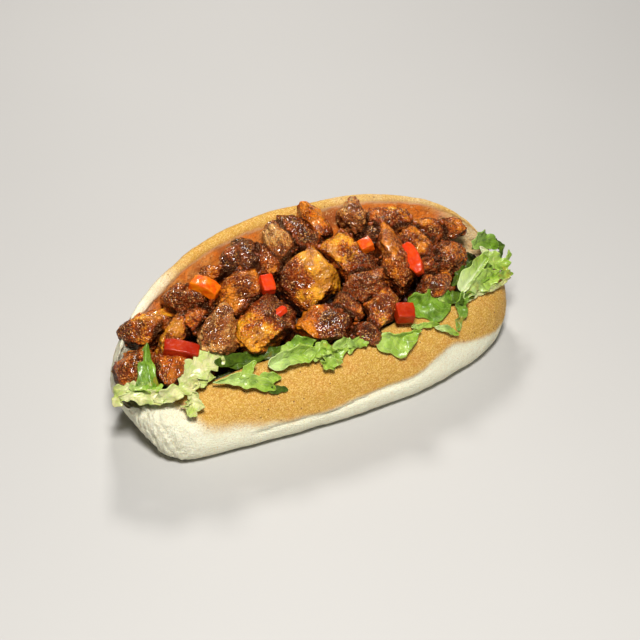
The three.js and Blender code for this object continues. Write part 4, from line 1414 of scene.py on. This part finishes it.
def sprinkle_recipe():
    recipe, given = geometry_graph(
        "sprinkle",
        ("Where", "String", "meal"),
        ("Number Per Square Metre", "Float", 100000.0),
        ("Smallest", "Float", 0.2 * MM),
        ("Largest", "Float", 0.35 * MM),
        ("Fineness", "Int", 1),
        ("Crookedness", "Float", 0.0),
        ("Material", "Material", None),
        ("Seed", "Int", 1),
    )
    where = recipe.add("GeometryNodeInputNamedAttribute", {"Name": given["Where"]}).outputs[0]
    density = recipe.times(where, given["Number Per Square Metre"])
    inputs = {"Mesh": given["Geometry"], "Density": density, "Seed": given["Seed"]}
    scatter = recipe.add("GeometryNodeDistributePointsOnFaces", inputs).outputs["Points"]
    inputs = {2: given["Smallest"], 3: given["Largest"], "Seed": given["Seed"]}
    radius = recipe.add("FunctionNodeRandomValue", inputs).outputs[1]
    full_turn = {1: (2 * math.pi,) * 3}
    turn = recipe.add("FunctionNodeRandomValue", full_turn, data_type="FLOAT_VECTOR").outputs[0]
    inputs = {"Radius": 1.0, "Subdivisions": given["Fineness"]}
    ball = recipe.add("GeometryNodeMeshIcoSphere", inputs).outputs[0]
    flat = recipe.scale(FLATTENED, radius)
    inputs = {"Points": scatter, "Instance": ball, "Scale": flat, "Rotation": turn}
    grains = recipe.add("GeometryNodeInstanceOnPoints", inputs).outputs[0]
    tone = recipe.add("FunctionNodeRandomValue", {"Seed": 7}).outputs[1]
    toned = remember(recipe, grains, "tone", tone, "INSTANCE")
    solid = recipe.add("GeometryNodeRealizeInstances", {"Geometry": toned}).outputs[0]
    # Larger bits are pushed out of round by noise, and small grains aren't.
    at = recipe.add("GeometryNodeInputPosition").outputs[0]
    bend = recipe.add("ShaderNodeTexNoise", {"Vector": at, "Scale": 1 / BEND_SIZE, "Detail": 3.0})
    push = recipe.vector("SUBTRACT", bend.outputs[1], (0.5, 0.5, 0.5))
    inputs = {"Geometry": solid, "Offset": recipe.scale(push, given["Crookedness"])}
    bent = recipe.add("GeometryNodeSetPosition", inputs).outputs[0]
    inputs = {"Geometry": bent, "Material": given["Material"]}
    recipe.add("NodeGroupOutput", {0: recipe.add("GeometryNodeSetMaterial", inputs).outputs[0]})
    return recipe


def grain_finish(name, pale, dark, roughness):
    look = Finish(name, roughness)
    look.set(Base_Color=look.blend(look.kept("tone"), colour(*pale), colour(*dark)))
    look.relief(look.clouds(look.place, 0.2 * MM), 0.05 * MM)
    return look.material


# %% Sprinkle them
GRAINS = {
    # name: its surfaces, slot and finish (pale, dark, roughness), and the graph's inputs
    "meal_on_crust": (
        [baked_roll],
        "crust",
        ("meal", (0.84, 0.55, 0.16), (0.61, 0.31, 0.06), 0.5),
        dict(Where="meal", Smallest=0.14 * MM, Largest=0.24 * MM, Number_Per_Square_Metre=400000.0),
    ),
    "spice_on_chicken": (
        cooked,
        "chicken",
        ("spice", (0.92, 0.36, 0.07), (0.40, 0.070, 0.006), 0.22),
        dict(Where="spice", Smallest=0.16 * MM, Largest=0.36 * MM, Number_Per_Square_Metre=420000.0),
    ),
    "scraps_between_chicken": (
        [core],
        "chicken",
        ("scraps", (0.55, 0.14, 0.015), (0.07, 0.012, 0.004), 0.35),
        dict(Where="scraps", Smallest=1.3 * MM, Largest=3.0 * MM, Number_Per_Square_Metre=30000.0,
             Fineness=3, Crookedness=2.5 * MM),
    ),
    "bits_in_the_seams": (
        cooked,
        "chicken",
        ("bits", (0.42, 0.085, 0.006), (0.09, 0.014, 0.002), 0.3),
        dict(Where="seam", Smallest=0.5 * MM, Largest=1.6 * MM, Number_Per_Square_Metre=60000.0,
             Fineness=2, Crookedness=2.2 * MM),
    ),
}
sprinkled = sprinkle_recipe()
for name, (surfaces, slot, tones, settings) in GRAINS.items():
    grains = place_in_scene(name, joined_mesh(name, [surface.data for surface in surfaces]))
    apply_graph(grains, sprinkled, Material=grain_finish(*tones), **settings)
    keep(grains, slot)
    print(name, len(grains.data.polygons), "faces")

# %% [markdown]
# ## Camera, floor and light
# A food picture is taken from where one sits at the table, a little to the left and looking down.
# A small key lamp high at the left gives the wet meat its glints, one behind lights the rims, and
# a wide weak one with a dim world opens the shadows. The floor is plain and pale.

# %% Camera, floor and lamps
VIEW_AZIMUTH, VIEW_HEIGHT = -30, 37.6
AIM = Vector((21 * MM, 27.45 * MM, 0))
CAMERA_DISTANCE = LAMP_DISTANCE = 0.9
SENSOR_WIDTH, LENS = 36, 103.9
LAMPS = {
    # name: azimuth, height, size, power, tint
    "key": (-28, 60, 0.18, 9.1, (1.0, 0.98, 0.94)),
    "back": (158, 44, 0.14, 4.2, (1.0, 0.97, 0.93)),
    "fill": (50, 35, 0.8, 0.6, (1.0, 0.99, 0.97)),
}
WORLD_TINT, WORLD_STRENGTH = colour(0.9, 0.93, 1.0), 0.018
FLOOR_REACH = 3
FLOOR_TINTS = colour(0.52, 0.51, 0.495), colour(0.55, 0.54, 0.525)


def towards(azimuth, height):
    """Direction from the sandwich to an eye or a lamp, in degrees. Azimuth 0 is the front."""
    a, h = math.radians(azimuth), math.radians(height)
    return Vector((math.sin(a) * math.cos(h), -math.cos(a) * math.cos(h), math.sin(h)))


def aim(name, data, target, direction, distance):
    """Stands a camera or a lamp at a distance and points it at its target."""
    holder = place_in_scene(name, data)
    holder.location = target + distance * direction
    holder.rotation_euler = direction.to_track_quat("Z", "Y").to_euler()
    return holder


scene = bpy.context.scene
lens = bpy.data.cameras.new("camera")
lens.sensor_width, lens.lens = SENSOR_WIDTH, LENS
scene.camera = aim("camera", lens, AIM, towards(VIEW_AZIMUTH, VIEW_HEIGHT), CAMERA_DISTANCE)
for name, (azimuth, height, size, power, tint) in LAMPS.items():
    lamp = bpy.data.lights.new(name, "AREA")
    lamp.size, lamp.energy, lamp.color = size, power, tint
    aim(name, lamp, Vector(), towards(azimuth, height), LAMP_DISTANCE)
scene.world = bpy.data.worlds.new("studio")
scene.world.use_nodes = True
sky = scene.world.node_tree.nodes["Background"].inputs
sky["Color"].default_value = WORLD_TINT
sky["Strength"].default_value = WORLD_STRENGTH
scene.view_settings.view_transform = "Standard"
scene.view_settings.look = "None"

floor_finish = Finish("floor", 0.7)
floor_finish.set(Base_Color=floor_finish.blend(floor_finish.clouds(floor_finish.place, 0.2), *FLOOR_TINTS))
square = [(x * FLOOR_REACH, y * FLOOR_REACH, 0) for x, y in ((-1, -1), (1, -1), (1, 1), (-1, 1))]
floor = new_piece("floor", square, [(0, 1, 2, 3)], floor_finish.material)
print("camera", round(scene.camera.location.length, 3), "m away,", len(LAMPS), "lamps")
